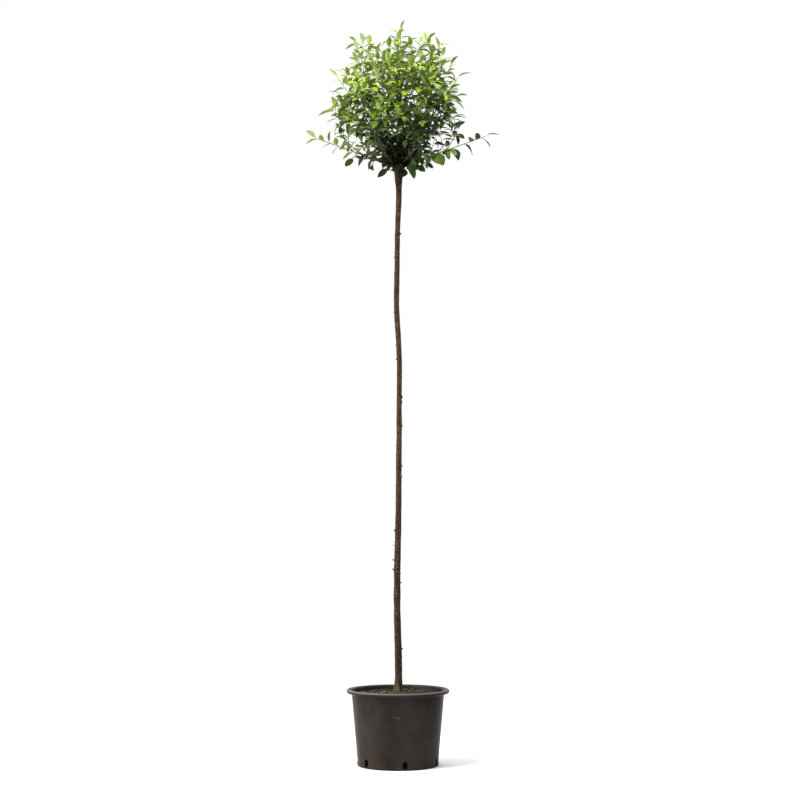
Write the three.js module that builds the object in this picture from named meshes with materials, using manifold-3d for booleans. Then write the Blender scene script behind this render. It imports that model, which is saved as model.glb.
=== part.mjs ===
// A potted globe cherry: a small round crown grafted on a slim, straight stem, in a nursery pot.
// Millimetres, +Z up. The origin is the centre of the pot's flat underside, and -Y faces the viewer.
import * as THREE from "three";
import { mergeVertices } from "three/addons/utils/BufferGeometryUtils.js";
import Module from "manifold-3d";

const wasm = await Module();
wasm.setup();

const { degToRad, lerp, smoothstep } = THREE.MathUtils;

// Pot: a tapered plastic container with a rolled rim and drain slots at its foot
const POT_HEIGHT = 256;
const POT_FOOT_RADIUS = 137;
const POT_NECK_RADIUS = 157;
const POT_RIM_RADIUS = 175;
const POT_RIM_HEIGHT = 15;
const POT_RIM_EDGE = 4.5;
const POT_RIM_UNDERCUT = 0.8;
const POT_WALL = 3;
const POT_FLOOR = 4;
const POT_FOOT_ROUND = 7;
const POT_SIDES = 36;
// How far in the middle of a rounded corner lies, as a share of the corner's size
const ROUND_SHARE = 0.3;
const SLOT_COUNT = 6;
const SLOT_WIDTH = 17;
const SLOT_HEIGHT = 26;
const SLOT_SILL = 5;
const SLOT_DEPTH = 28;
const SLOT_ARCH_STEPS = 5;
const FIRST_SLOT_TURN = degToRad(-80);

// Soil: the fill of the pot, flat where the stem stands
const SOIL_LEVEL = 243;
const SOIL_FALL = 5;
const SOIL_FLAT_SHARE = 0.8;

// Stem: height from the soil to the graft, radius and sideways wander at shares of that height
const STEM_HEIGHT = 1800;
const STEM_SIDES = 9;
const STEM_STEPS = 30;
const STEM_STATIONS = [
  { share: 0, radius: 18, x: 2, y: 0 },
  { share: 0.012, radius: 14.5, x: 2, y: 0 },
  { share: 0.035, radius: 12.5, x: 2, y: 0 },
  { share: 0.18, radius: 11.6, x: -3, y: 1 },
  { share: 0.4, radius: 10, x: 3, y: -3 },
  { share: 0.62, radius: 9, x: 5, y: 2 },
  { share: 0.74, radius: 9.6, x: -5, y: 4 },
  { share: 0.86, radius: 9, x: -2, y: 0 },
  { share: 0.95, radius: 9.8, x: 3, y: 0 },
  { share: 0.985, radius: 14, x: 2, y: 0 },
  { share: 1, radius: 16, x: 0, y: 0 },
];
const GRAFT_RISE = 6;
const GRAFT_RADIUS = 17;
const GRAFT_RINGS = 6;
// Stubs of old side shoots, between two shares of the stem's height
const KNOT_COUNT = 14;
const KNOT_LENGTH = [1.8, 5.2];
const KNOT_RADIUS = [3.2, 5.4];
const KNOT_NARROWING = 0.55;
const KNOT_RISE = 0.35;
const KNOT_SIDES = 4;
const KNOT_LOWEST = 0.05;
const KNOT_HIGHEST = 0.9;

// Crown: a globe that is flatter below, measured round the point where all the boughs meet
const HEART = new THREE.Vector3(0, 0, SOIL_LEVEL + STEM_HEIGHT + GRAFT_RISE);
const CROWN_RADIUS = 244;
const CROWN_MIDDLE = 2300;
const CROWN_TOP = 2538;
const CROWN_BOTTOM = 2025;
const CROWN_POWER_ABOVE = 2;
const CROWN_POWER_BELOW = 3;
const REACH_ACCURACY = 0.5;

// Boughs: rings of limbs that leave collars on the graft, each along the axis of its own mass
const BOUGH_RINGS = [
  { ring: "low", count: 6, first: 0, rise: 20, length: 46, spread: 40 },
  { ring: "high", count: 5, first: 54, rise: 54, length: 74, spread: 28 },
  { ring: "top", count: 1, first: 0, rise: 90, length: 96, spread: 22 },
];
const COLLAR_REACH = 27;
const COLLAR_ROOT_RADIUS = 7.8;
const COLLAR_RADIUS = 6.2;
const BOUGH_TIP_RADIUS = 4;
const BOUGH_SIDES = 6;
const BOUGH_STEPS = 3;
const SEAT_GAP = 0.3;
// How far a shoot outgrows the globe, by bough
const LEADERS = { low_1: 118, low_4: 92 };

// Foliage: each mass has one shoot on from its bough, and twigs that arch from it to the crown's skin
const SHOOT_RADIUS = 3.2;
const SHOOT_BARE_SHARE = 0.06;
const TWIGS_PER_MASS = 7;
const TWIG_RADIUS = 2.1;
const TWIG_TIP_RADIUS = 1.1;
const TWIG_BARE_SHARE = 0.2;
const TWIG_SIDES = 3;
const TWIG_STEPS = 3;
const TWIG_REACH = [0.94, 1.04];
const TWIG_ARCH = 0.16;
// Where the twigs leave the shoot: the lowest place, the share of the shoot, and the share of the reach
const FORK_RISE = 4;
const FORK_SHARE = 0.5;
const FORK_LIMIT = 0.8;
// The first and the last twig's tilt from the shoot, as shares of the mass's spread
const TWIG_TILT = [1.15, 0.6];
const CLEARANCE_STATIONS = [0.4, 0.6, 0.8, 1];

// Leaves: folded along the rib, larger than life because they are fewer
const LEAF_LENGTH = 66;
const LEAF_WIDTH = 35;
const LEAF_THICKNESS = 1.8;
const LEAF_SIZES = [0.78, 1.1];
const LEAF_SPACING = 31;
const LEAF_FOLD = 0.32;
const LEAF_DROOP = 0.1;
const LEAF_WIDEST_AT = 0.46;
const LEAF_RIB_AT = 0.2;
const LEAF_RIB_RISE = 0.03;
// How far the first and the last leaf of a twig open from it, and the leaf at its end, in degrees
const LEAF_OPENING = [66, 42];
const END_LEAF_OPENING = 8;
const END_LEAF_AT = 0.985;
const LEAF_LIFT = 0.18;
const LEAF_FACING_UP = 0.5;
const LEAF_ROOT_DEPTH = 0.5;
// Share of a leaf that is kept inside the crown's skin, and how far past the skin a leaf may reach
const LEAF_ALLOWANCE = 0.55;
const LEAF_OVERREACH = 1.06;
// A twig or leaf that doesn't fit is bent in, or turned and made smaller, before it is left out
const TRIES = 7;
const TRY_EASING = 0.88;
const TRY_TURN = 0.9;
const TRY_SHRINK = 0.04;
const CELL_GAP = 1.2;
const LIMB_GAP = 1.5;
const STEM_CLEARANCE = 22;
// Edges shorter than this are slivers that a join leaves
const SLIVER = 0.02;
const GOLDEN_TURN = degToRad(137.508);
const SEED = 20;

const UP = new THREE.Vector3(0, 0, 1);
const SIDEWAYS = new THREE.Vector3(1, 0, 0);
const NEAR_UPRIGHT = 0.9;
const TANGENT_STEP = 0.01;
const MERGE_DISTANCE = 1e-4;

const FINISHES = {
  pot: new THREE.MeshStandardMaterial({ color: 0x36312f, roughness: 0.55, metalness: 0 }),
  soil: new THREE.MeshStandardMaterial({ color: 0x3a2c22, roughness: 1, metalness: 0 }),
  bark: new THREE.MeshStandardMaterial({ color: 0x57443a, roughness: 0.85, metalness: 0 }),
  leaf: new THREE.MeshStandardMaterial({ color: 0x5f7d24, roughness: 0.5, metalness: 0 }),
};

// A seeded source of even numbers from 0 to 1, so that the plant grows the same way every time
function seeded(seed) {
  let state = seed >>> 0;
  return () => {
    state = (Math.imul(1664525, state) + 1013904223) >>> 0;
    return state / 2 ** 32;
  };
}

const mix = ([from, to], share) => lerp(from, to, share);

// A three.js geometry as a closed solid
function toSolid(geometry) {
  const bare = geometry.clone();
  bare.deleteAttribute("normal");
  bare.deleteAttribute("uv");
  const merged = mergeVertices(bare, MERGE_DISTANCE);
  return new wasm.Manifold(
    new wasm.Mesh({
      numProp: 3,
      vertProperties: merged.attributes.position.array,
      triVerts: new Uint32Array(merged.index.array),
    }),
  );
}

// A closed solid as a three.js geometry
function toGeometry(solid) {
  const { vertProperties, triVerts } = solid.getMesh();
  const geometry = new THREE.BufferGeometry()
    .setAttribute("position", new THREE.BufferAttribute(vertProperties, 3))
    .setIndex(new THREE.BufferAttribute(triVerts, 1));
  geometry.computeVertexNormals();
  return geometry;
}

function meshOf(name, solid, finish) {
  const mesh = new THREE.Mesh(toGeometry(solid), FINISHES[finish]);
  mesh.name = name;
  return mesh;
}

// A solid turned round Z from a profile of [radius, height] points that starts and ends on the axis
function turned(profile, sides) {
  const points = profile.map(([radius, height]) => new THREE.Vector2(radius, height));
  return toSolid(new THREE.LatheGeometry(points, sides).rotateX(Math.PI / 2));
}

// A round-sided limb whose centre line and radius are functions of the share of its length, 0 to 1
function limb(centreAt, radiusAt, sides, steps) {
  const geometry = new THREE.CylinderGeometry(1, 1, 1, sides, steps);
  const place = geometry.attributes.position;
  const reference = squareTo(centreAt(1).sub(centreAt(0)).normalize());
  const frames = Array.from({ length: steps + 1 }, (_, step) => frameAt(centreAt, step / steps, reference));
  for (let i = 0; i < place.count; i++) {
    const share = place.getY(i) + 0.5;
    const { centre, side, front } = frames[Math.round(share * steps)];
    const radius = radiusAt(share);
    const point = centre
      .clone()
      .addScaledVector(side, place.getX(i) * radius)
      .addScaledVector(front, -place.getZ(i) * radius);
    place.setXYZ(i, ...point.toArray());
  }
  return toSolid(geometry);
}

// The centre of a line at a share of its length, with two directions square to it
function frameAt(centreAt, share, reference) {
  const centre = centreAt(share);
  const ahead = centreAt(Math.min(1, share + TANGENT_STEP));
  const along = ahead.sub(centreAt(Math.max(0, share - TANGENT_STEP))).normalize();
  const side = reference.clone().addScaledVector(along, -reference.dot(along)).normalize();
  const front = along.clone().cross(side);
  return { centre, side, front };
}

// A direction square to an axis
function squareTo(axis) {
  const reference = Math.abs(axis.z) > NEAR_UPRIGHT ? SIDEWAYS : UP;
  return reference.clone().addScaledVector(axis, -reference.dot(axis)).normalize();
}

// A direction tilted away from an axis and turned round it
function tilted(axis, tilt, turn) {
  return axis.clone().applyAxisAngle(squareTo(axis), tilt).applyAxisAngle(axis, turn);
}

// Smooth value between the listed stations of a limb
function between(stations, key, share) {
  const next = Math.max(1, stations.findIndex((station) => station.share >= share));
  const [below, above] = [stations[next - 1], stations[next]];
  return lerp(below[key], above[key], smoothstep(share, below.share, above.share));
}

function potSolid() {
  const neck = POT_HEIGHT - POT_RIM_HEIGHT;
  const inside = POT_NECK_RADIUS - POT_WALL;
  const footInset = ROUND_SHARE * POT_FOOT_ROUND;
  const rimInset = ROUND_SHARE * POT_RIM_EDGE;
  const shell = turned(
    [
      [0, 0],
      [POT_FOOT_RADIUS - POT_FOOT_ROUND, 0],
      [POT_FOOT_RADIUS - footInset, footInset],
      [POT_FOOT_RADIUS, POT_FOOT_ROUND],
      [POT_NECK_RADIUS, neck],
      [POT_RIM_RADIUS - POT_RIM_EDGE, neck + POT_RIM_UNDERCUT],
      [POT_RIM_RADIUS - rimInset, neck + POT_RIM_UNDERCUT + rimInset],
      [POT_RIM_RADIUS, neck + POT_RIM_EDGE],
      [POT_RIM_RADIUS, POT_HEIGHT - POT_RIM_EDGE],
      [POT_RIM_RADIUS - rimInset, POT_HEIGHT - rimInset],
      [POT_RIM_RADIUS - POT_RIM_EDGE, POT_HEIGHT],
      [inside + 2 * POT_WALL, POT_HEIGHT],
      [inside, POT_HEIGHT - 2 * POT_WALL],
      [POT_FOOT_RADIUS - POT_WALL, POT_FLOOR + POT_FOOT_ROUND],
      [POT_FOOT_RADIUS - POT_WALL - POT_FOOT_ROUND, POT_FLOOR],
      [0, POT_FLOOR],
    ],
    POT_SIDES,
  );
  return shell.subtract(wasm.Manifold.union(drainSlots()));
}

// Arched openings through the wall just above the pot's foot
function drainSlots() {
  const half = SLOT_WIDTH / 2;
  const archCentre = SLOT_SILL + SLOT_HEIGHT - half;
  const arch = new THREE.Shape()
    .moveTo(-half, SLOT_SILL)
    .lineTo(half, SLOT_SILL)
    .lineTo(half, archCentre)
    .absarc(0, archCentre, half, 0, Math.PI)
    .lineTo(-half, SLOT_SILL);
  const options = { depth: SLOT_DEPTH, bevelEnabled: false, curveSegments: SLOT_ARCH_STEPS };
  return Array.from({ length: SLOT_COUNT }, (_, slot) => {
    const cutter = new THREE.ExtrudeGeometry(arch, options)
      .rotateX(Math.PI / 2)
      .translate(0, SLOT_DEPTH / 2 - POT_FOOT_RADIUS, 0)
      .rotateZ(Math.PI / 2 + FIRST_SLOT_TURN + (slot * 2 * Math.PI) / SLOT_COUNT);
    return toSolid(cutter);
  });
}

function soilSolid() {
  const lowest = POT_FLOOR + SEAT_GAP;
  const footLevel = POT_FLOOR + POT_FOOT_ROUND;
  const edgeLevel = SOIL_LEVEL - SOIL_FALL;
  const wallSlope = (POT_NECK_RADIUS - POT_FOOT_RADIUS) / (POT_HEIGHT - POT_RIM_HEIGHT - POT_FOOT_ROUND);
  const footRadius = POT_FOOT_RADIUS - POT_WALL - 2 * SEAT_GAP;
  const edgeRadius = footRadius + wallSlope * (edgeLevel - footLevel) - SEAT_GAP;
  return turned(
    [
      [0, lowest],
      [footRadius - POT_FOOT_ROUND, lowest],
      [footRadius, footLevel + SEAT_GAP],
      [edgeRadius, edgeLevel],
      [SOIL_FLAT_SHARE * edgeRadius, SOIL_LEVEL],
      [0, SOIL_LEVEL],
    ],
    POT_SIDES,
  );
}

const stemFoot = SOIL_LEVEL + SEAT_GAP;
const stemCentre = (share) =>
  new THREE.Vector3(
    between(STEM_STATIONS, "x", share),
    between(STEM_STATIONS, "y", share),
    lerp(stemFoot, HEART.z, share),
  );
const stemRadius = (share) => between(STEM_STATIONS, "radius", share);

// The stem with its knots and its graft, which ends in a flat collar for each bough
function trunkSolid(boughs) {
  const stem = limb(stemCentre, stemRadius, STEM_SIDES, STEM_STEPS);
  const graft = toSolid(
    new THREE.SphereGeometry(GRAFT_RADIUS, STEM_SIDES, GRAFT_RINGS).translate(...HEART.toArray()),
  );
  const collars = boughs.map(({ axis }) =>
    limb(
      (share) => HEART.clone().addScaledVector(axis, share * COLLAR_REACH),
      (share) => lerp(COLLAR_ROOT_RADIUS, COLLAR_RADIUS, share),
      BOUGH_SIDES,
      1,
    ),
  );
  return wasm.Manifold.union([stem, graft, ...collars, ...knots()]).simplify(SLIVER);
}

// Short stubs where side shoots were cut away as the stem grew
function knots() {
  const random = seeded(SEED);
  return Array.from({ length: KNOT_COUNT }, (_, knot) => {
    const share = lerp(KNOT_LOWEST, KNOT_HIGHEST, (knot + random()) / KNOT_COUNT);
    const turn = knot * GOLDEN_TURN;
    const out = new THREE.Vector3(Math.cos(turn), Math.sin(turn), KNOT_RISE).normalize();
    const length = stemRadius(share) + mix(KNOT_LENGTH, random());
    const radius = mix(KNOT_RADIUS, random());
    const foot = stemCentre(share);
    return limb(
      (along) => foot.clone().addScaledVector(out, along * length),
      (along) => lerp(radius, radius * KNOT_NARROWING, along),
      KNOT_SIDES,
      1,
    );
  });
}

// Every bough, with its axis from the heart of the crown
function boughList() {
  return BOUGH_RINGS.flatMap(({ ring, count, first, rise, length, spread }) =>
    Array.from({ length: count }, (_, index) => {
      const turn = degToRad(first + (index * 360) / count);
      const axis = new THREE.Vector3(Math.cos(turn), Math.sin(turn), 0)
        .multiplyScalar(Math.cos(degToRad(rise)))
        .setZ(Math.sin(degToRad(rise)));
      const name = count > 1 ? `${ring}_${index + 1}` : ring;
      return { name, axis, length, spread: degToRad(spread), leader: LEADERS[name] ?? 0 };
    }),
  );
}

function boughSolid({ axis, length }) {
  return limb(
    (share) => HEART.clone().addScaledVector(axis, COLLAR_REACH + SEAT_GAP + share * length),
    (share) => lerp(COLLAR_RADIUS, BOUGH_TIP_RADIUS, share),
    BOUGH_SIDES,
    BOUGH_STEPS,
  );
}

// True inside the crown's outline
function inCrown(point) {
  const rise = point.z - CROWN_MIDDLE;
  const above = rise > 0;
  const half = above ? CROWN_TOP - CROWN_MIDDLE : CROWN_MIDDLE - CROWN_BOTTOM;
  const power = above ? CROWN_POWER_ABOVE : CROWN_POWER_BELOW;
  const across = Math.hypot(point.x, point.y) / CROWN_RADIUS;
  return Math.abs(rise / half) ** power + across ** power < 1;
}

// How far the crown reaches from its heart along a direction
function crownReach(direction) {
  let near = 0;
  let far = CROWN_TOP - CROWN_BOTTOM;
  while (far - near > REACH_ACCURACY) {
    const middle = (near + far) / 2;
    if (inCrown(HEART.clone().addScaledVector(direction, middle))) near = middle;
    else far = middle;
  }
  return near;
}

// True if a point lies on its own mass's side of the plane between it and every other mass
function inCell(point, own, boughs) {
  const from = point.clone().sub(HEART);
  return boughs.every(({ axis }) => {
    if (axis === own) return true;
    const across = own.clone().sub(axis).normalize();
    return from.dot(across) > CELL_GAP;
  });
}

// True if a twig keeps inside its mass's space, past its fork
function staysIn(curve, own, boughs) {
  return CLEARANCE_STATIONS.every((share) => inCell(curve.getPoint(share), own, boughs));
}

// A twig that arches from its fork on the shoot to the crown's skin
function twigCurve(axis, fork, tilt, turn, reachShare) {
  const direction = tilted(axis, tilt, turn);
  const reach = reachShare * crownReach(direction) - LEAF_ALLOWANCE * LEAF_LENGTH;
  const start = HEART.clone().addScaledVector(axis, Math.min(fork, FORK_LIMIT * reach));
  const end = HEART.clone().addScaledVector(direction, reach);
  const bend = start.clone().lerp(end, 0.5).addScaledVector(axis, TWIG_ARCH * start.distanceTo(end));
  return new THREE.QuadraticBezierCurve3(start, bend, end);
}

// The centre lines of a mass: its shoot, and each twig that finds a way inside the mass's own space
function massLines({ axis, length, spread, leader }, boughs, random) {
  const foot = COLLAR_REACH + length + 2 * SEAT_GAP;
  const tip = crownReach(axis) + leader - LEAF_ALLOWANCE * LEAF_LENGTH;
  const onAxis = (reach) => HEART.clone().addScaledVector(axis, reach);
  const shoot = new THREE.LineCurve3(onAxis(foot), onAxis(tip));
  const lines = [{ curve: shoot, radius: SHOOT_RADIUS, bare: SHOOT_BARE_SHARE, steps: 1 }];
  const firstTurn = 2 * Math.PI * random();
  for (let twig = 0; twig < TWIGS_PER_MASS; twig++) {
    const share = (twig + 0.5) / TWIGS_PER_MASS;
    const reachShare = mix(TWIG_REACH, random());
    const fork = foot + FORK_RISE + FORK_SHARE * share * (tip - foot);
    const turn = firstTurn + twig * GOLDEN_TURN;
    const tilts = Array.from({ length: TRIES }, (_, i) => spread * mix(TWIG_TILT, share) * TRY_EASING ** i);
    const curve = tilts
      .map((tilt) => twigCurve(axis, fork, tilt, turn, reachShare))
      .find((tried) => tried.v0.distanceTo(HEART) > foot + FORK_RISE && staysIn(tried, axis, boughs));
    if (curve) lines.push({ curve, radius: TWIG_RADIUS, bare: TWIG_BARE_SHARE, steps: TWIG_STEPS });
  }
  return lines;
}

// Where the leaves of a shoot or twig leave it, in a spiral, with one at its end
function leafPlaces({ curve, bare }, firstTurn) {
  const count = Math.max(2, Math.round(((1 - bare) * curve.getLength()) / LEAF_SPACING));
  return Array.from({ length: count + 1 }, (_, leaf) => {
    const share = lerp(bare, END_LEAF_AT, leaf / count);
    const opening = leaf === count ? END_LEAF_OPENING : mix(LEAF_OPENING, leaf / count);
    return {
      root: curve.getPoint(share),
      along: curve.getTangent(share),
      opening: degToRad(opening),
      turn: firstTurn + leaf * GOLDEN_TURN,
    };
  });
}

// Where a corner of the octahedron that a leaf is made from goes: length, width and height
function leafCorner(x, y, z) {
  if (x === 1) return [LEAF_LENGTH, 0, -LEAF_DROOP * LEAF_LENGTH];
  if (x === -1) return [0, 0, 0];
  if (z === 0) return [LEAF_WIDEST_AT * LEAF_LENGTH, (y * LEAF_WIDTH) / 2, (LEAF_FOLD * LEAF_WIDTH) / 2];
  return [LEAF_RIB_AT * LEAF_LENGTH, 0, LEAF_RIB_RISE * LEAF_LENGTH + (z * LEAF_THICKNESS) / 2];
}

// A folded leaf of eight faces: root, tip, two edges, and the upper and lower side of its rib
function leafSolid(root, along, face, size) {
  const across = face.clone().cross(along).normalize();
  const top = along.clone().cross(across);
  const geometry = new THREE.OctahedronGeometry(1);
  const place = geometry.attributes.position;
  const corners = Array.from({ length: place.count }, (_, i) => {
    const [x, y, z] = leafCorner(place.getX(i), place.getY(i), place.getZ(i));
    return root
      .clone()
      .addScaledVector(along, x * size)
      .addScaledVector(across, y * size)
      .addScaledVector(top, z * size);
  });
  corners.forEach((corner, i) => place.setXYZ(i, ...corner.toArray()));
  return { solid: toSolid(geometry), corners };
}

// True if a leaf keeps inside its mass's space and clear of the bough, the graft and the stem
function leafFits(corners, bough, boughs, reachLimit) {
  const boughEnd = COLLAR_REACH + bough.length + LIMB_GAP;
  return corners.every((corner) => {
    const from = corner.clone().sub(HEART);
    const along = from.dot(bough.axis);
    const off = from.clone().addScaledVector(bough.axis, -along).length();
    const clearOfBough = along > boughEnd || off > COLLAR_RADIUS + LIMB_GAP;
    const clearOfGraft = from.length() > COLLAR_REACH + LIMB_GAP;
    const clearOfStem = from.z > COLLAR_REACH || Math.hypot(from.x, from.y) > STEM_CLEARANCE;
    const inReach = from.length() < reachLimit && corner.z > CROWN_BOTTOM;
    return clearOfBough && clearOfGraft && clearOfStem && inReach && inCell(corner, bough.axis, boughs);
  });
}

// A leaf at its place, turned and made smaller until it fits and touches none of the other pieces
function fittedLeaf({ root, along, opening, turn }, bough, boughs, others, random) {
  const reachLimit = LEAF_OVERREACH * crownReach(root.clone().sub(HEART).normalize()) + bough.leader;
  for (let attempt = 0; attempt < TRIES; attempt++) {
    const direction = tilted(along, opening, turn + attempt * TRY_TURN);
    direction.addScaledVector(UP, LEAF_LIFT).normalize();
    const foot = root.clone().addScaledVector(direction, -LEAF_ROOT_DEPTH);
    const size = mix(LEAF_SIZES, random()) * (1 - TRY_SHRINK * attempt);
    const { solid, corners } = leafSolid(foot, direction, along.clone().lerp(UP, LEAF_FACING_UP), size);
    const fits = leafFits(corners, bough, boughs, reachLimit);
    if (fits && others.every((other) => solid.intersect(other).isEmpty())) return [solid];
  }
  return [];
}

// One mass of foliage, fused into a single body, with any loose scrap dropped
function massSolid(bough, boughs, seed) {
  const random = seeded(seed);
  const lines = massLines(bough, boughs, random);
  const wood = lines.map(({ curve, radius, steps }) =>
    limb(
      (share) => curve.getPoint(share),
      (share) => lerp(radius, TWIG_TIP_RADIUS, share),
      TWIG_SIDES,
      steps,
    ),
  );
  const leaves = [];
  lines.forEach((line, index) => {
    const otherWood = wood.filter((_, other) => other !== index);
    leafPlaces(line, index).forEach((place) => {
      leaves.push(...fittedLeaf(place, bough, boughs, [...leaves, ...otherWood], random));
    });
  });
  const bodies = wasm.Manifold.union([...wood, ...leaves]).simplify(SLIVER).decompose();
  return bodies.reduce((largest, body) => (body.volume() > largest.volume() ? body : largest));
}

const boughs = boughList();
const tree = new THREE.Group();
tree.add(meshOf("pot", potSolid(), "pot"));
tree.add(meshOf("soil", soilSolid(), "soil"));
tree.add(meshOf("trunk", trunkSolid(boughs), "bark"));
boughs.forEach((bough, index) => {
  tree.add(meshOf(`bough_${bough.name}`, boughSolid(bough), "bark"));
  tree.add(meshOf(`foliage_${bough.name}`, massSolid(bough, boughs, SEED + index), "leaf"));
});

export default tree;
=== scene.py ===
# %% [markdown]
# # A potted globe cherry
# A young cherry, grafted as a small round crown on a tall bare stem, stands in a black nursery pot.
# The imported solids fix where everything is. This lesson dresses them: a rolled plastic pot, crumbly
# compost, bark with knots and breathing pores, and a crown that grows on to real twigs and leaves.

# %% The fixed frame
import math

import bmesh
import bpy
from mathutils import Color, Matrix, Quaternion, Vector, noise


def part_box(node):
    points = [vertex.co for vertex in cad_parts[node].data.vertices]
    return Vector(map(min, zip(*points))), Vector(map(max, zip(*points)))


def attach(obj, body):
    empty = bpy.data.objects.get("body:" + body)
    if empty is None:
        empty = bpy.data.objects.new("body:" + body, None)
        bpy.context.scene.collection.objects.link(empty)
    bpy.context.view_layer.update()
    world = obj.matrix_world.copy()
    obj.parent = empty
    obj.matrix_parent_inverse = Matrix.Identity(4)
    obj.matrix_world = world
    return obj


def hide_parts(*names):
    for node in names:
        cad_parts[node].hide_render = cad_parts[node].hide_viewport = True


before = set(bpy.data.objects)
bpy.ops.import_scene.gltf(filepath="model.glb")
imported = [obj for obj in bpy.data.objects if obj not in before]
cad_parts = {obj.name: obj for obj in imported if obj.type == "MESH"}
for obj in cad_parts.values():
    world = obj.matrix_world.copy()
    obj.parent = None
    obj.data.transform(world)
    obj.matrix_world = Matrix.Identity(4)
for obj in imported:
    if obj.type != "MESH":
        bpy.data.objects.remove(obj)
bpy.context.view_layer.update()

scene = bpy.context.scene

# %% [markdown]
# ## Tools for pieces
# Every piece ends the same way: it becomes an object at the origin, rides on the one body of this part,
# takes a material slot and hides the solids it stands for. A small generator of even numbers deals out
# all chances, instead of Python's own, because the solids grew by the same one.

# %% Tools for pieces
BODY = "root"
DRAW_FACTOR = 1664525
DRAW_SHIFT = 1013904223
DRAW_RANGE = 2**32


def add_piece(name, mesh, materials, replaced=()):
    """Puts a finished mesh into the part and hides the solids it stands for."""
    for material in materials:
        mesh.materials.append(material)
    piece = bpy.data.objects.new(name, mesh)
    scene.collection.objects.link(piece)
    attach(piece, BODY)
    if replaced:
        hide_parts(*replaced)
    mesh.calc_loop_triangles()
    print(name, "triangles", len(mesh.loop_triangles))


def smooth(mesh, crease):
    """Shades a mesh smooth, up to an angle between faces in degrees."""
    mesh.shade_smooth()
    mesh.set_sharp_from_angle(angle=math.radians(crease))


def mesh_from(shape, name, crease):
    """A smooth mesh from a bmesh."""
    mesh = bpy.data.meshes.new(name)
    shape.to_mesh(mesh)
    shape.free()
    smooth(mesh, crease)
    return mesh


def seeded(seed):
    """A source of even numbers from 0 to 1 that is the same on every run."""
    state = seed

    def draw():
        nonlocal state
        state = (DRAW_FACTOR * state + DRAW_SHIFT) % DRAW_RANGE
        return state / DRAW_RANGE

    return draw


def mix(pair, share):
    """A value between two others."""
    return pair[0] + (pair[1] - pair[0]) * share


def even_shares(steps):
    """Shares from 0 to 1, with a number of equal steps between them."""
    return [step / steps for step in range(steps + 1)]


print("pieces ride on", BODY)

# %% [markdown]
# ## Plain finishes
# Every finish starts from one base colour with its roughness and gloss. Colours are written here with their
# usual values of 0 to 255, and turned into the linear light that the shader works in, because values taken
# from a screen would come out too pale.

# %% Plain finishes
WHITE_LEVEL = 255


def srgb(red, green, blue):
    """A colour in linear light from its usual values of 0 to 255."""
    shown = Color((red, green, blue)) / WHITE_LEVEL
    return tuple(shown.from_srgb_to_scene_linear())


def grey(value):
    """A neutral colour, also for a ramp that carries a number."""
    return (value, value, value)


def plain_material(name, colour, roughness, specular):
    """A material of one base colour."""
    material = bpy.data.materials.new(name)
    material.use_nodes = True
    shader = material.node_tree.nodes["Principled BSDF"]
    shader.inputs["Base Color"].default_value = (*colour, 1)
    shader.inputs["Roughness"].default_value = roughness
    shader.inputs["Specular IOR Level"].default_value = specular
    return material


def link(material, socket, name):
    """Drives one input of the surface shader."""
    shader = material.node_tree.nodes["Principled BSDF"]
    material.node_tree.links.new(socket, shader.inputs[name])


print("white in linear light:", srgb(WHITE_LEVEL, WHITE_LEVEL, WHITE_LEVEL))

# %% [markdown]
# ## Node chains
# A patterned finish is a chain of nodes. It could be wired by hand in the shader editor, but helpers that
# add one node each, and give back its output, keep the finishes below short and easy to read.

# %% Node chains
def node(owner, kind, values, output=0, operation=None):
    """Adds a node to a material or a sky, links or sets its inputs, and gives one of its outputs."""
    made = owner.node_tree.nodes.new(kind)
    if operation:
        made.operation = operation
    for key, value in values.items():
        if isinstance(value, bpy.types.NodeSocket):
            owner.node_tree.links.new(value, made.inputs[key])
        else:
            made.inputs[key].default_value = value
    return made.outputs[output]


def product(material, first, second):
    """Two numbers multiplied."""
    return node(material, "ShaderNodeMath", {0: first, 1: second}, "Value", "MULTIPLY")


def ramp(material, factor, stops):
    """Colours that follow a factor from 0 to 1."""
    made = material.node_tree.nodes.new("ShaderNodeValToRGB")
    material.node_tree.links.new(factor, made.inputs["Fac"])
    elements = made.color_ramp.elements
    while len(elements) < len(stops):
        elements.new(stops[len(elements) - 1][0])
    for element, (place, colour) in zip(elements, stops):
        element.position = place
        element.color = (*colour, 1)
    return made.outputs["Color"]


def fade(start, end, most):
    """Stops of a ramp that grows from nothing to its most."""
    return [(start, grey(0)), (end, grey(most))]


def blend(material, share, under, over):
    """A plain colour laid over another colour by a share."""
    return node(material, "ShaderNodeMixRGB", {"Fac": share, "Color1": under, "Color2": (*over, 1)})


print("stops of a full fade:", fade(0, 1, 1))

# %% [markdown]
# ## Patterns and marks
# A pattern starts from Object coordinates, so that it stays on the surface when the part is moved. It could
# start from a painted map, but a noise has no seams and no resolution. Marks are a plain colour that shows
# where a noise is strong, and grain is a noise that only tilts the light.

# %% Patterns and marks
def pattern_noise(material, repeats, detail):
    """A noise on Object coordinates with its own repeats to the metre along X, Y and Z."""
    place = node(material, "ShaderNodeTexCoord", {}, "Object")
    stretched = node(material, "ShaderNodeMapping", {"Vector": place, "Scale": repeats})
    return node(material, "ShaderNodeTexNoise", {"Vector": stretched, "Scale": 1, "Detail": detail})


def height_share(material, start, end, most=1):
    """How far a point has come from one height to another, from 0 to the most."""
    place = node(material, "ShaderNodeTexCoord", {}, "Object")
    height = node(material, "ShaderNodeSeparateXYZ", {"Vector": place}, "Z")
    span = {"Value": height, "From Min": start, "From Max": end, "To Max": most}
    return node(material, "ShaderNodeMapRange", span)


def marked(material, under, repeats, detail, stops, colour):
    """A colour with marks of a plain colour over it, where a noise passes the stops."""
    marks = ramp(material, pattern_noise(material, repeats, detail), stops)
    return blend(material, marks, under, colour)


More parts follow.
